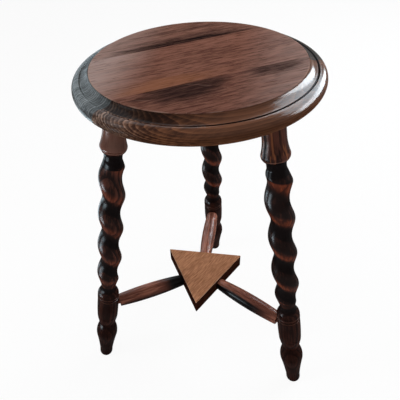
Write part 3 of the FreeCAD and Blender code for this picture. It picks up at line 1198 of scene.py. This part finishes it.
@dataclass
class TwistedLegs:
    """Three alike legs, each turned with a bell collar, a single left-hand twist, a barrel and a foot.

    Sizes in millimetres.
    """

    seat: Seat
    inset: float = 40.4
    spread: float = 88.7
    foot_pad_radius: float = 6.0
    foot_radius: float = 10.1
    ankle_length: float = 7.5
    foot_taper_length: float = 38.0
    foot_taper_hollow: float = 0.35
    bulb_radius: float = 16.1
    bulb_swell: float = 1.0
    bulb_rise: float = 9.5
    bulb_fall: float = 20.5
    waist_radius: float = 10.9
    barrel_foot_length: float = 20.0
    barrel_foot_swell: float = 0.5
    barrel_radius: float = 15.5
    barrel_swell: float = 0.4
    barrel_length: float = 39.5
    line_width: float = 1.0
    line_depth: float = 0.5
    ring_groove_width: float = 1.5
    ring_groove_depth: float = 0.8
    ring_length: float = 3.6
    ring_swell: float = 0.3
    cap_length: float = 9.0
    cap_swell: float = 0.95
    cap_inset: float = 2.2
    cup_length: float = 9.0
    cup_hollow: float = 0.6
    twist_radius: float = 13.7
    twist_offset: float = 2.5
    twist_pitch: float = 51.6
    billet_margin: float = 1.2
    neck_sink: float = 0.8
    neck_length: float = 3.5
    lower_flare_length: float = 27.0
    upper_flare_length: float = 20.5
    throat_length: float = 5.5
    throat_hollow: float = 0.35
    collar_edge_radius: float = 11.7
    collar_round_length: float = 7.5
    collar_round_swell: float = 1.35
    collar_radius: float = 15.3
    bell_length: float = 22.0
    bell_hollow: float = 0.95
    bell_neck_radius: float = 12.5
    shank_length: float = 30.0
    shank_top_radius: float = 12.2
    carve_blend: float = 1.1
    envelope: float = 14.0
    envelope_step: float = 1.0
    hollow_depth: float = 4.2
    heart_distance: float = 55.0
    collar_dark: float = 0.9
    collar_slope: float = 0.1
    pale_strand: Range = (48.0, 34.0)
    pale_end: float = 14.0
    pale_share: float = 0.45
    barrel_share: float = 0.45
    # Painted pale lines: glints at the ring edges and a line round the collar's rim, with their half width
    # and their levels.
    pale_line_width: float = 0.75
    ring_glint: float = -0.58
    rim_line: float = -0.75
    rim_drop: float = 3.5
    rim_fade: Range = (2.0, -1.0)
    # How much paler each collar is drawn; on the left leg this reaches the painted pale sheen.
    collar_pale: dict[Leg, float] = field(
        default_factory=lambda: {Leg.BACK: 0.22, Leg.LEFT: 0.63, Leg.RIGHT: 0.22}
    )
    darkened: dict[Leg, float] = field(
        default_factory=lambda: {Leg.BACK: 0.3, Leg.LEFT: 0.12, Leg.RIGHT: 0.4}
    )
    crease_deg: float = 50.0
    sides: int = 96

    @property
    def axis_at_seat(self) -> float:
        """Distance of a leg's axis from the middle, at the seat's underside."""
        return self.seat.radius - self.inset

    @property
    def axis_at_floor(self) -> float:
        """Distance of a leg's axis from the middle, at the floor."""
        return self.axis_at_seat + self.spread

    @property
    def splay(self) -> float:
        """Lean of a leg, in radians."""
        return math.atan2(self.spread, self.seat.underside)

    @property
    def length(self) -> float:
        """Length of a leg's axis from the floor to the seat."""
        return math.hypot(self.spread, self.seat.underside)

    @property
    def foot_centre(self) -> float:
        """Height of the middle of the rounded foot."""
        return math.sqrt(self.foot_radius**2 - self.foot_pad_radius**2)

    @property
    def neck_radius(self) -> float:
        """Radius of the two necks of the shaft."""
        return self.twist_radius - self.twist_offset - self.neck_sink

    @property
    def waist_height(self) -> float:
        """Height of the waist between the foot and the barrel."""
        foot = self.foot_centre + self.ankle_length + self.foot_taper_length
        return foot + self.bulb_rise + self.bulb_fall

    @property
    def ring_height(self) -> float:
        """Height of the rings at the top of the barrel."""
        return self.waist_height + self.barrel_foot_length + self.line_width + self.barrel_length

    @property
    def lower_neck(self) -> float:
        """Height where the twisted shaft starts."""
        rings = 2 * self.ring_groove_width + self.ring_length
        return self.ring_height + rings + self.cap_length + self.cup_length

    @property
    def upper_neck(self) -> float:
        """Height where the twisted shaft ends."""
        bell = self.collar_round_length + self.bell_length + self.shank_length
        return self.length - bell - self.throat_length

    @property
    def collar_rim(self) -> float:
        """Height of the collar's widest place."""
        return self.upper_neck + self.throat_length + self.collar_round_length

    @property
    def ring_edges(self) -> tuple[float, ...]:
        """Heights of the edges of the two ring grooves."""
        upper = self.ring_height + self.ring_groove_width + self.ring_length
        starts = (self.ring_height, upper)
        return tuple(start + offset for start in starts for offset in (0.0, self.ring_groove_width))

    def outline(self) -> Outline:
        """Half outline of a leg before its hollow is carved."""
        barrel_end = self.barrel_radius - self.barrel_swell
        billet = self.twist_radius + self.twist_offset + self.billet_margin
        drawn = Outline(0.0, self.foot_centre - self.foot_radius)
        halfway = self.foot_radius * math.sin(math.pi / 4)
        drawn.arc(self.foot_radius, self.foot_radius, halfway, self.foot_radius - halfway)
        drawn.line(self.foot_radius, self.ankle_length)
        drawn.bow(self.bulb_radius - self.bulb_swell, self.foot_taper_length, -self.foot_taper_hollow)
        drawn.arc(self.waist_radius, self.bulb_rise + self.bulb_fall, self.bulb_radius, self.bulb_rise)
        drawn.bow(barrel_end, self.barrel_foot_length, self.barrel_foot_swell)
        drawn.groove(self.line_width, self.line_depth)
        drawn.bow(barrel_end, self.barrel_length, self.barrel_swell)
        drawn.groove(self.ring_groove_width, self.ring_groove_depth)
        drawn.bow(barrel_end, self.ring_length, self.ring_swell)
        drawn.groove(self.ring_groove_width, self.ring_groove_depth)
        drawn.bow(barrel_end - self.cap_inset, self.cap_length, self.cap_swell)
        drawn.bow(self.neck_radius, self.cup_length, -self.cup_hollow)
        drawn.line(self.neck_radius, self.neck_length)
        drawn.line(billet, self.lower_flare_length)
        flare_start = self.upper_neck - self.neck_length - self.upper_flare_length
        drawn.line(billet, flare_start - drawn.height)
        drawn.line(self.neck_radius, self.upper_flare_length)
        drawn.line(self.neck_radius, self.neck_length)
        drawn.bow(self.collar_edge_radius, self.throat_length, -self.throat_hollow)
        drawn.bow(self.collar_radius, self.collar_round_length, self.collar_round_swell)
        drawn.bow(self.bell_neck_radius, self.bell_length, -self.bell_hollow)
        drawn.line(self.shank_top_radius, self.shank_length)
        drawn.line(self.shank_top_radius, self.shank_top_radius)
        drawn.line(0.0)
        return drawn

    def strand(self, angle: np.ndarray, height: np.ndarray) -> np.ndarray:
        """Radius of the twisted strand.

        Args:
            angle: Angles round the leg's axis, in radians.
            height: Heights along it, in millimetres.

        Returns:
            Distance of the strand's surface from the axis, in millimetres.
        """
        turn = angle + FULL_TURN * (height - self.lower_neck) / self.twist_pitch
        aside = self.twist_offset * np.sin(turn)
        return self.twist_offset * np.cos(turn) + np.sqrt(self.twist_radius**2 - aside**2)

    def pattern(self) -> Piece:
        """One upright leg whose crest faces +X at the lower neck, with its hollow and slope stored."""
        outline = self.outline()
        piece = turned_piece("leg_pattern", outline, self.sides)
        places = points_of(piece)
        radius = np.hypot(places[:, 0], places[:, 1])
        angle = np.arctan2(places[:, 1], places[:, 0])
        height = places[:, 2]
        inside = (height > self.lower_neck) & (height < self.upper_neck) & (radius > self.neck_radius / 2)
        carved = soft_least(radius, self.strand(angle, height), self.carve_blend)
        factor = np.where(inside, carved / np.maximum(radius, self.neck_radius / 2), 1.0)
        places[:, :2] *= factor[:, None]
        set_points(piece, places)

        drawn = np.array(outline.points)
        crest = np.minimum(drawn[:, 0], self.twist_radius + self.twist_offset)
        levels = np.arange(drawn[:, 1].min(), drawn[:, 1].max(), self.envelope_step)
        near = [crest[np.abs(drawn[:, 1] - level) < self.envelope].max() for level in levels]
        depth = np.interp(height, levels, near) - np.hypot(places[:, 0], places[:, 1])
        low, high = (self.upper_neck - offset for offset in self.pale_strand)
        shade = 1 - self.pale_share * soft_step(height, low, high)
        shade = np.where(height > self.upper_neck - self.pale_end, 1.0, shade)
        shade = np.where(height < self.ring_height, self.barrel_share, shade)
        keep_values(piece, "hollow", np.clip(depth / self.hollow_depth, 0.0, 1.0) * shade)
        collar = (height > self.upper_neck) & (height < self.collar_rim)
        keep_values(piece, "slope", np.where(collar, self.collar_slope, normals_of(piece)[:, 2]))
        return piece

    def darkness(self, leg: Leg, height: np.ndarray) -> np.ndarray:
        """How much darker each point of a leg is drawn, below nought where it is drawn paler.

        Args:
            leg: The leg.
            height: Heights of its points along the axis, in millimetres.

        Returns:
            One share for each point.
        """
        shaft = soft_step(height, self.lower_neck - self.cup_length, self.lower_neck)
        collar = soft_step(height, self.upper_neck, self.upper_neck + self.throat_length)
        rim = self.collar_rim - self.rim_drop
        high, low = (rim + offset for offset in self.rim_fade)
        below = collar * soft_step(height, high, low)
        darkness = self.darkened[leg] * shaft * (1 - collar) + self.collar_dark * below
        # A paler collar; on the left leg this becomes a painted pale sheen.
        darkness = darkness - self.collar_pale[leg] * collar
        # Painted glints as thin pale lines at the ring edges, and a painted pale line round the collar's rim.
        tone_marks = {edge: self.ring_glint for edge in self.ring_edges} | {rim: self.rim_line}
        for edge, worn in tone_marks.items():
            darkness = np.where(np.abs(height - edge) < self.pale_line_width, worn, darkness)
        return darkness

    def build(self) -> dict[Leg, Piece]:
        """Copy the pattern, turn each copy's twist to its place and stand it under the seat.

        Returns:
            Each leg's mesh.
        """
        pattern = self.pattern()
        legs = {}
        for leg in Leg:
            piece = copied(pattern, f"{leg.word}_leg")
            piece.data.transform(Matrix.Rotation(leg.phase, 4, "Z"))
            own = points_of(piece) * MM
            behind = math.pi / 2 - leg.azimuth
            heart = np.array([math.cos(behind), math.sin(behind)]) * self.heart_distance * MM
            keep_values(piece, "grain_place", own[:, [2, 0, 1]] - np.array([-leg.azimuth, *heart]))
            keep_values(piece, "darkness", self.darkness(leg, own[:, 2] / MM))
            lean = Matrix.Rotation(-self.splay, 4, "Y")
            stand = Matrix.Translation((self.axis_at_floor * MM, 0.0, 0.0))
            piece.data.transform(Matrix.Rotation(leg.azimuth, 4, "Z") @ stand @ lean)
            trim(piece, Vector((0.0, 0.0, 0.0)), -UP)
            trim(piece, UP * self.seat.underside * MM, UP)
            smooth(piece, self.crease_deg)
            legs[leg] = piece
        remove(pattern)
        return legs

    def dress(self, legs: dict[Leg, Piece], finish: TurnedFinish) -> None:
        """Give the legs their polish."""
        material = finish.material()
        for leg, piece in legs.items():
            dress(piece, f"leg_{leg.word}", material)


@dataclass
class Stretchers:
    """Three turned stretchers and the triangular block that they meet in. Sizes in millimetres."""

    legs: TwistedLegs
    block_side: float = 115.0
    block_thickness: float = 22.0
    corner_round: float = 1.5
    corner_segments: int = 5
    edge_ease: float = 0.6
    ease_segments: int = 3
    arris_tilt: Range = (0.05, 0.95)
    block_rise: float = 2.2
    drop: float = 14.2
    block_radius: float = 8.2
    radius: float = 11.2
    leg_radius: float = 9.2
    tenon_radius: float = 5.0
    block_tenon: float = 16.0
    leg_tenon: float = 15.0
    shoulder_gap: float = 0.15
    stain_reach: dict[Leg, tuple[float, bool]] = field(
        default_factory=lambda: {Leg.BACK: (0.0, False), Leg.LEFT: (44.0, False), Leg.RIGHT: (95.0, True)}
    )
    # Painted shade along the undersides of the left and back stretchers, and how far round it reaches.
    under_shade: float = 0.5
    under_shade_reach: Range = (0.2, 1.2)
    stained_side: float = 10.0
    stained_reach: Range = (0.3, 0.65)
    slope: float = 0.4
    grain_shift: float = 3.0
    crease_deg: float = 50.0
    block_crease_deg: float = 40.0
    sides: int = 72

    @property
    def height(self) -> float:
        """Height of the stretchers' axes."""
        legs = self.legs
        level = (legs.ring_height - self.drop) * math.cos(legs.splay)
        return level - legs.barrel_radius * math.sin(legs.splay)

    @property
    def block_height(self) -> float:
        """Height of the middle of the block."""
        return self.height + self.block_rise

    @property
    def start(self) -> float:
        """Distance of the block's sides from the middle."""
        return self.block_side / (2 * math.sqrt(3))

    @property
    def end(self) -> float:
        """Distance of the shoulders at the legs from the middle."""
        legs = self.legs
        top = self.height + self.leg_radius
        face = legs.axis_at_floor - top * math.tan(legs.splay) - legs.barrel_radius / math.cos(legs.splay)
        return face - self.shoulder_gap

    def pattern(self) -> Piece:
        """One stretcher, upright on the middle line."""
        outline = Outline(0.0, self.start - self.block_tenon)
        outline.line(self.tenon_radius)
        outline.line(self.tenon_radius, self.block_tenon)
        outline.line(self.block_radius)
        length = self.end - self.start
        outline.arc(self.leg_radius, length, self.radius, length / 2)
        outline.line(self.tenon_radius)
        outline.line(self.tenon_radius, self.leg_tenon)
        outline.line(0.0)
        piece = turned_piece("stretcher_pattern", outline, self.sides)
        places = points_of(piece)
        keep_values(piece, "hollow", np.zeros(len(places)))
        keep_values(piece, "slope", np.full(len(places), self.slope))
        return piece

    def darkness(self, leg: Leg, places: np.ndarray) -> np.ndarray:
        """How much darker a stretcher is drawn: black polish left near the block, and painted shade along the
        undersides of the left and back ones.

        Args:
            leg: The leg that the stretcher goes to.
            places: Points of the upright pattern, in millimetres; +X ends up underneath and -Y in front.

        Returns:
            One share for each point.
        """
        reach, lower_half = self.stain_reach[leg]
        fade = np.clip(1 - (places[:, 2] - self.start) / max(reach, 1.0), 0.0, 1.0)
        if not lower_half:
            # Painted shade on the stretcher's underside.
            front = math.copysign(1.0, -math.cos(leg.azimuth)) * places[:, 1]
            under_shaded = self.under_shade * soft_step((places[:, 0] + front) / self.radius, *self.under_shade_reach)
            return np.maximum(fade, under_shaded)
        facing = math.radians(self.stained_side)
        toward = (places[:, 0] * math.sin(facing) - places[:, 1] * math.cos(facing)) / self.radius
        return np.sqrt(fade) * soft_step(toward, *self.stained_reach)

    def build_stretchers(self) -> dict[Leg, Piece]:
        """Copy the pattern and lay each copy level towards its leg.

        Returns:
            Each stretcher's mesh.
        """
        pattern = self.pattern()
        pieces = {}
        for leg in Leg:
            piece = copied(pattern, f"{leg.word}_stretcher")
            own = points_of(piece) * MM
            keep_values(piece, "darkness", self.darkness(leg, own / MM))
            shift = np.array([self.grain_shift + leg.azimuth, 0.0, 0.0])
            keep_values(piece, "grain_place", own[:, [2, 0, 1]] + shift)
            tip = Matrix.Rotation(math.pi / 2, 4, "Y")
            lift = Matrix.Translation(UP * self.height * MM)
            piece.data.transform(Matrix.Rotation(leg.azimuth, 4, "Z") @ lift @ tip)
            smooth(piece, self.crease_deg)
            pieces[leg] = piece
        remove(pattern)
        return pieces

    def build_block(self) -> Piece:
        """Triangular block with rounded corners and eased arrises, whose sides face the legs."""
        bpy.ops.object.select_all(action="DESELECT")
        bpy.ops.mesh.primitive_cylinder_add(
            vertices=3,
            radius=self.block_side / math.sqrt(3) * MM,
            depth=self.block_thickness * MM,
            location=UP * self.block_height * MM,
            rotation=(0.0, 0.0, math.pi),
        )
        piece = bpy.context.object
        piece.name = piece.data.name = "triangle_block"
        bpy.ops.object.transform_apply(location=True, rotation=True, scale=True)
        bpy.ops.object.mode_set(mode="EDIT")
        bpy.ops.mesh.select_mode(type="EDGE")
        corners = (self.corner_round, self.corner_segments, True)
        arrises = (self.edge_ease, self.ease_segments, False)
        for offset, segments, upright in (corners, arrises):
            bpy.ops.mesh.select_all(action="DESELECT")
            bpy.ops.object.mode_set(mode="OBJECT")
            self.pick_edges(piece, upright)
            bpy.ops.object.mode_set(mode="EDIT")
            bpy.ops.mesh.bevel(offset=offset * MM, segments=segments, affect="EDGES")
        bpy.ops.object.mode_set(mode="OBJECT")
        upward = np.array([abs(vertex.normal.z) for vertex in piece.data.vertices])
        least, most = self.arris_tilt
        keep_values(piece, "arris", ((upward > least) & (upward < most)).astype(float))
        smooth(piece, self.block_crease_deg)
        return piece

    def pick_edges(self, piece: Piece, upright: bool) -> None:
        """Select the block's upright edges, or else the edges of its top and bottom faces."""
        mesh = piece.data
        middle = self.block_height * MM
        for edge in mesh.edges:
            low, high = (mesh.vertices[index].co for index in edge.vertices)
            is_upright = (low.z - middle) * (high.z - middle) < 0
            edge.select = is_upright == upright

    def dress(
        self,
        pieces: dict[Leg, Piece],
        block: Piece,
        finish: TurnedFinish,
        block_finish: BlockFinish,
    ) -> None:
        """Give the stretchers and the block their finishes."""
        material = finish.material()
        for leg, piece in pieces.items():
            dress(piece, f"stretcher_{leg.word}", material)
        top = self.block_height + self.block_thickness / 2
        dress(block, "stretcher_block", block_finish.material(top))


@dataclass(frozen=True)
class Softbox:
    """A soft lamp: where it stands and how large it is, in metres, and how bright it looks."""

    name: str
    place: tuple[float, float, float]
    size: tuple[float, float]
    radiance: float
    colour: tuple[float, float, float]
    target: tuple[float, float, float] = (0.0, 0.0, 0.3)
    lights: bool = True
    mirrored: bool = True
    faded: bool = False

    def build(self) -> None:
        """Add the lamp, turned towards its target."""
        data = bpy.data.lights.new(self.name, "AREA")
        data.shape = "RECTANGLE"
        data.size, data.size_y = self.size
        data.energy = self.radiance * math.pi * self.size[0] * self.size[1]
        data.color = self.colour
        if self.faded:
            self.fade(data)
        lamp = bpy.data.objects.new(self.name, data)
        lamp.location = self.place
        lamp.visible_camera = False
        lamp.visible_diffuse = self.lights
        lamp.visible_glossy = self.mirrored
        aim = Vector(self.target) - Vector(self.place)
        lamp.rotation_euler = aim.to_track_quat("-Z", "Y").to_euler()
        bpy.context.scene.collection.objects.link(lamp)
        log.info("lamp %s", self.name)

    def fade(self, data: bpy.types.Light) -> None:
        """Let a lamp's brightness fall off from its middle to its edges."""
        data.use_nodes = True
        sheet = Sheet(data.node_tree)
        place = sheet.add("ShaderNodeNewGeometry").outputs["Parametric"]
        off = sheet.vector("SUBTRACT", place, (0.5, 0.5, 0.0))
        reach = sheet.length(off, (2.0, 2.0, 0.0))
        sheet.feed(sheet.tree.nodes["Emission"], {"Strength": sheet.rise(reach, 1.0, 0.1)})


@dataclass
class Studio:
    """Pale floor, soft lamps, even background and the photograph's camera.

    The camera's place is in millimetres, and its focal length and principal point are in photograph pixels.
    """

    camera_place: tuple[float, float, float] = (63.51, -411.09, 630.41)
    yaw: float = math.radians(-13.57)
    pitch: float = math.radians(43.82)
    roll: float = math.radians(4.77)
    focal_pixels: float = 413.08
    principal: tuple[float, float] = (176.07, 225.66)
    sensor: float = 36.0
    clip_start: float = 0.01
    floor_size: float = 40.0
    floor_colour: Colour = (0.93, 0.93, 0.93, 1.0)
    floor_lift: float = 0.93
    floor_roughness: float = 0.9
    ambient: float = 0.25
    lamps: tuple[Softbox, ...] = (
        Softbox("right_window", (1.13, 1.13, 1.25), (1.3, 0.85), 6.5, (0.9, 0.96, 1.0), mirrored=False),
        Softbox("right_pane", (1.3, 0.85, 0.88), (1.7, 0.6), 56.0, (0.8, 0.92, 1.0), lights=False),
        Softbox("right_sky", (1.2, 1.18, 1.7), (2.3, 0.9), 24.0, (0.68, 0.88, 1.0), lights=False),
        Softbox("left_window", (-1.2, -0.5, 1.0), (0.4, 0.7), 7.0, PANE_BLUE, mirrored=False),
        Softbox("left_pane", (-1.17, -0.49, 0.98), (0.4, 0.7), 12.0, PANE_BLUE, lights=False),
        Softbox("left_card", (-0.62, -0.38, 0.1), (0.6, 0.5), 62.0, CARD_BLUE, lights=False, faded=True),
        Softbox("left_floor", (-0.5, 0.15, 0.03), (0.6, 0.7), 30.0, CARD_BLUE, lights=False, faded=True),
        Softbox("blue_wall", (-1.46, 1.2, 1.3), (2.8, 2.6), 9.0, (0.74, 0.9, 1.0), lights=False),
        Softbox("ceiling", (0.0, -0.2, 1.9), (1.6, 1.6), 1.1, (1.0, 0.94, 0.89), mirrored=False),
    )

    def build_camera(self) -> None:
        """Camera at the photograph's angle."""
        forward = Vector((
            math.sin(self.yaw) * math.cos(self.pitch),
            math.cos(self.yaw) * math.cos(self.pitch),
            -math.sin(self.pitch),
        ))
        level = Vector((math.cos(self.yaw), -math.sin(self.yaw), 0.0))
        down = forward.cross(level)
        right = math.cos(self.roll) * level + math.sin(self.roll) * down
        lower = -math.sin(self.roll) * level + math.cos(self.roll) * down
        data = bpy.data.cameras.new("camera")
        data.sensor_width = self.sensor
        data.lens = self.focal_pixels * self.sensor / PHOTO_SIDE
        data.shift_x = 0.5 - self.principal[0] / PHOTO_SIDE
        data.shift_y = self.principal[1] / PHOTO_SIDE - 0.5
        data.clip_start = self.clip_start
        camera = bpy.data.objects.new("camera", data)
        turn = Matrix((right, -lower, -forward)).transposed().to_4x4()
        camera.matrix_world = Matrix.Translation(Vector(self.camera_place) * MM) @ turn
        bpy.context.scene.collection.objects.link(camera)
        bpy.context.scene.camera = camera

    def seen(self, sheet: Sheet) -> Socket:
        """One where a thing is seen as background: straight on, mirrored or through glass."""
        path = sheet.add("ShaderNodeLightPath").outputs
        return sheet.most(path["Is Camera Ray"], path["Is Glossy Ray"], path["Is Transmission Ray"])

    def build_floor(self) -> None:
        """Pale floor that keeps a faint shadow."""
        bpy.ops.object.select_all(action="DESELECT")
        bpy.ops.mesh.primitive_plane_add(size=self.floor_size)
        floor = bpy.context.object
        floor.name = "floor"
        material, sheet, shader = new_material("pale_floor")
        sheet.feed(shader, {
            "Base Color": self.floor_colour,
            "Roughness": self.floor_roughness,
            "Specular IOR Level": 0.0,
        })
        glow = sheet.add("ShaderNodeEmission", {"Color": WHITE, "Strength": 1.0}).outputs["Emission"]
        share = sheet.times(self.seen(sheet), self.floor_lift)
        mix = sheet.add("ShaderNodeMixShader", {0: share, 1: shader.outputs["BSDF"], 2: glow})
        sheet.feed(sheet.tree.nodes["Material Output"], {"Surface": mix.outputs["Shader"]})
        floor.data.materials.append(material)

    def build_world(self) -> None:
        """Even light all round, white as a background."""
        world = bpy.data.worlds.new("studio")
        bpy.context.scene.world = world
        world.use_nodes = True
        sheet = Sheet(world.node_tree)
        strength = sheet.span(self.seen(sheet), self.ambient, 1.0)
        sheet.feed(sheet.tree.nodes["Background"], {"Color": WHITE, "Strength": strength})

    def build(self) -> None:
        """Set up everything round the stool."""
        bpy.context.scene.view_settings.view_transform = "Standard"
        self.build_camera()
        self.build_floor()
        self.build_world()
        for lamp in self.lamps:
            lamp.build()


SOOT = tone(26, 20, 20)
AMBER = tone(146, 94, 62)

BOARD_FINISHES = {
    Board.BACK: BoardFinish(
        name="back_board_brown",
        slot="seat_back_board",
        heart=(150.0, 380.0),
        ring_width=2.6,
        waver=5.0,
        face_pale=tone(146, 104, 90),
        face_deep=tone(74, 48, 40),
        edge_pale=tone(74, 50, 38),
        edge_deep=tone(28, 19, 16),
        left_sheen=0.42,
        patches=(
            Patch(along=6.0, across=48.0, half_length=102.0, half_width=17.0, depth=1.0, tint=SOOT),
            Patch(along=4.0, across=64.0, half_length=80.0, half_width=5.0, depth=0.5),
            Patch(along=20.0, across=84.0, half_length=60.0, half_width=7.0, depth=0.4, core=0.2),
        ),
    ),
    Board.MIDDLE: BoardFinish(
        name="middle_board_red",
        slot="seat_middle_board",
        heart=(300.0, 420.0),
        ring_width=3.0,
        waver=2.5,
        face_pale=tone(142, 97, 82),
        face_deep=tone(72, 45, 38),
        edge_pale=tone(84, 72, 66),
        edge_deep=tone(26, 20, 18),
        cove_shade=0.2,
        under_gloss=0.12,
        patches=(
            Patch(
                along=-48.0, across=-38.0, half_length=78.0, half_width=20.0, depth=0.5, core=0.1, tint=AMBER
            ),
        ),
    ),
    Board.FRONT: BoardFinish(
        name="front_board_brown",
        slot="seat_front_board",
        heart=(-118.0, 522.0),
        ring_width=2.1,
        waver=5.0,
        face_pale=tone(139, 95, 81),
        face_deep=tone(65, 40, 34),
        edge_pale=tone(142, 92, 64),
        edge_deep=tone(58, 35, 26),
        left_sheen=0.15,
        right_sheen=0.38,
        edge_sheen_pale=tone(186, 156, 138),
        edge_sheen_deep=tone(62, 44, 36),
        cove_shade=0.8,
        under_gloss=0.01,
        patches=(
            Patch(along=-38.0, across=-53.0, half_length=53.0, half_width=29.0, depth=1.0, core=0.55),
            Patch(along=60.0, across=-52.0, half_length=38.0, half_width=15.0, depth=0.9),
        ),
    ),
}

LEG_FINISH = TurnedFinish(
    name="leg_polish",
    slot="leg",
    brown=tone(100, 59, 48),
    deep=tone(42, 26, 23),
    black=tone(23, 17, 17),
    rubbed=tone(168, 78, 46),
    bare=tone(168, 128, 112),
    ring_width=4.5,
    streaks=0.55,
    gloss=0.1,
    dull=0.045,
    dusk=tone(26, 8, 5),
    foot_shade=0.8,
    barrel_shade=0.68,
    collar_stripes=0.7,
)

STRETCHER_FINISH = TurnedFinish(
    name="stretcher_polish",
    slot="stretcher",
    brown=tone(176, 112, 91),
    deep=tone(100, 60, 49),
    black=tone(18, 13, 13),
    rubbed=tone(122, 66, 44),
    bare=tone(168, 128, 112),
    ring_width=6.0,
    streaks=0.2,
    gloss=0.1,
    dull=0.03,
    dusk=tone(20, 9, 7),
)


def main() -> None:
    """Build the stool's pieces in order, dress them and set up the studio."""
    logging.basicConfig(level=logging.INFO, format="%(name)s: %(message)s")
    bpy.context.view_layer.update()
    low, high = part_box("seat_board_middle")
    radius = -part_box("seat_board_front")[0].y / MM
    seat = Seat(top=high.z / MM, underside=low.z / MM, radius=radius)
    seat.dress(seat.build(), BOARD_FINISHES)
    legs = TwistedLegs(seat)
    legs.dress(legs.build(), LEG_FINISH)
    stretchers = Stretchers(legs)
    stretchers.dress(stretchers.build_stretchers(), stretchers.build_block(), STRETCHER_FINISH, BlockFinish())
    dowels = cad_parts["seat_dowels"]
    dowels.data.materials.clear()
    dowels.data.materials.append(DowelFinish().material(seat.grain))
    Studio().build()


if __name__ == "__main__":
    main()
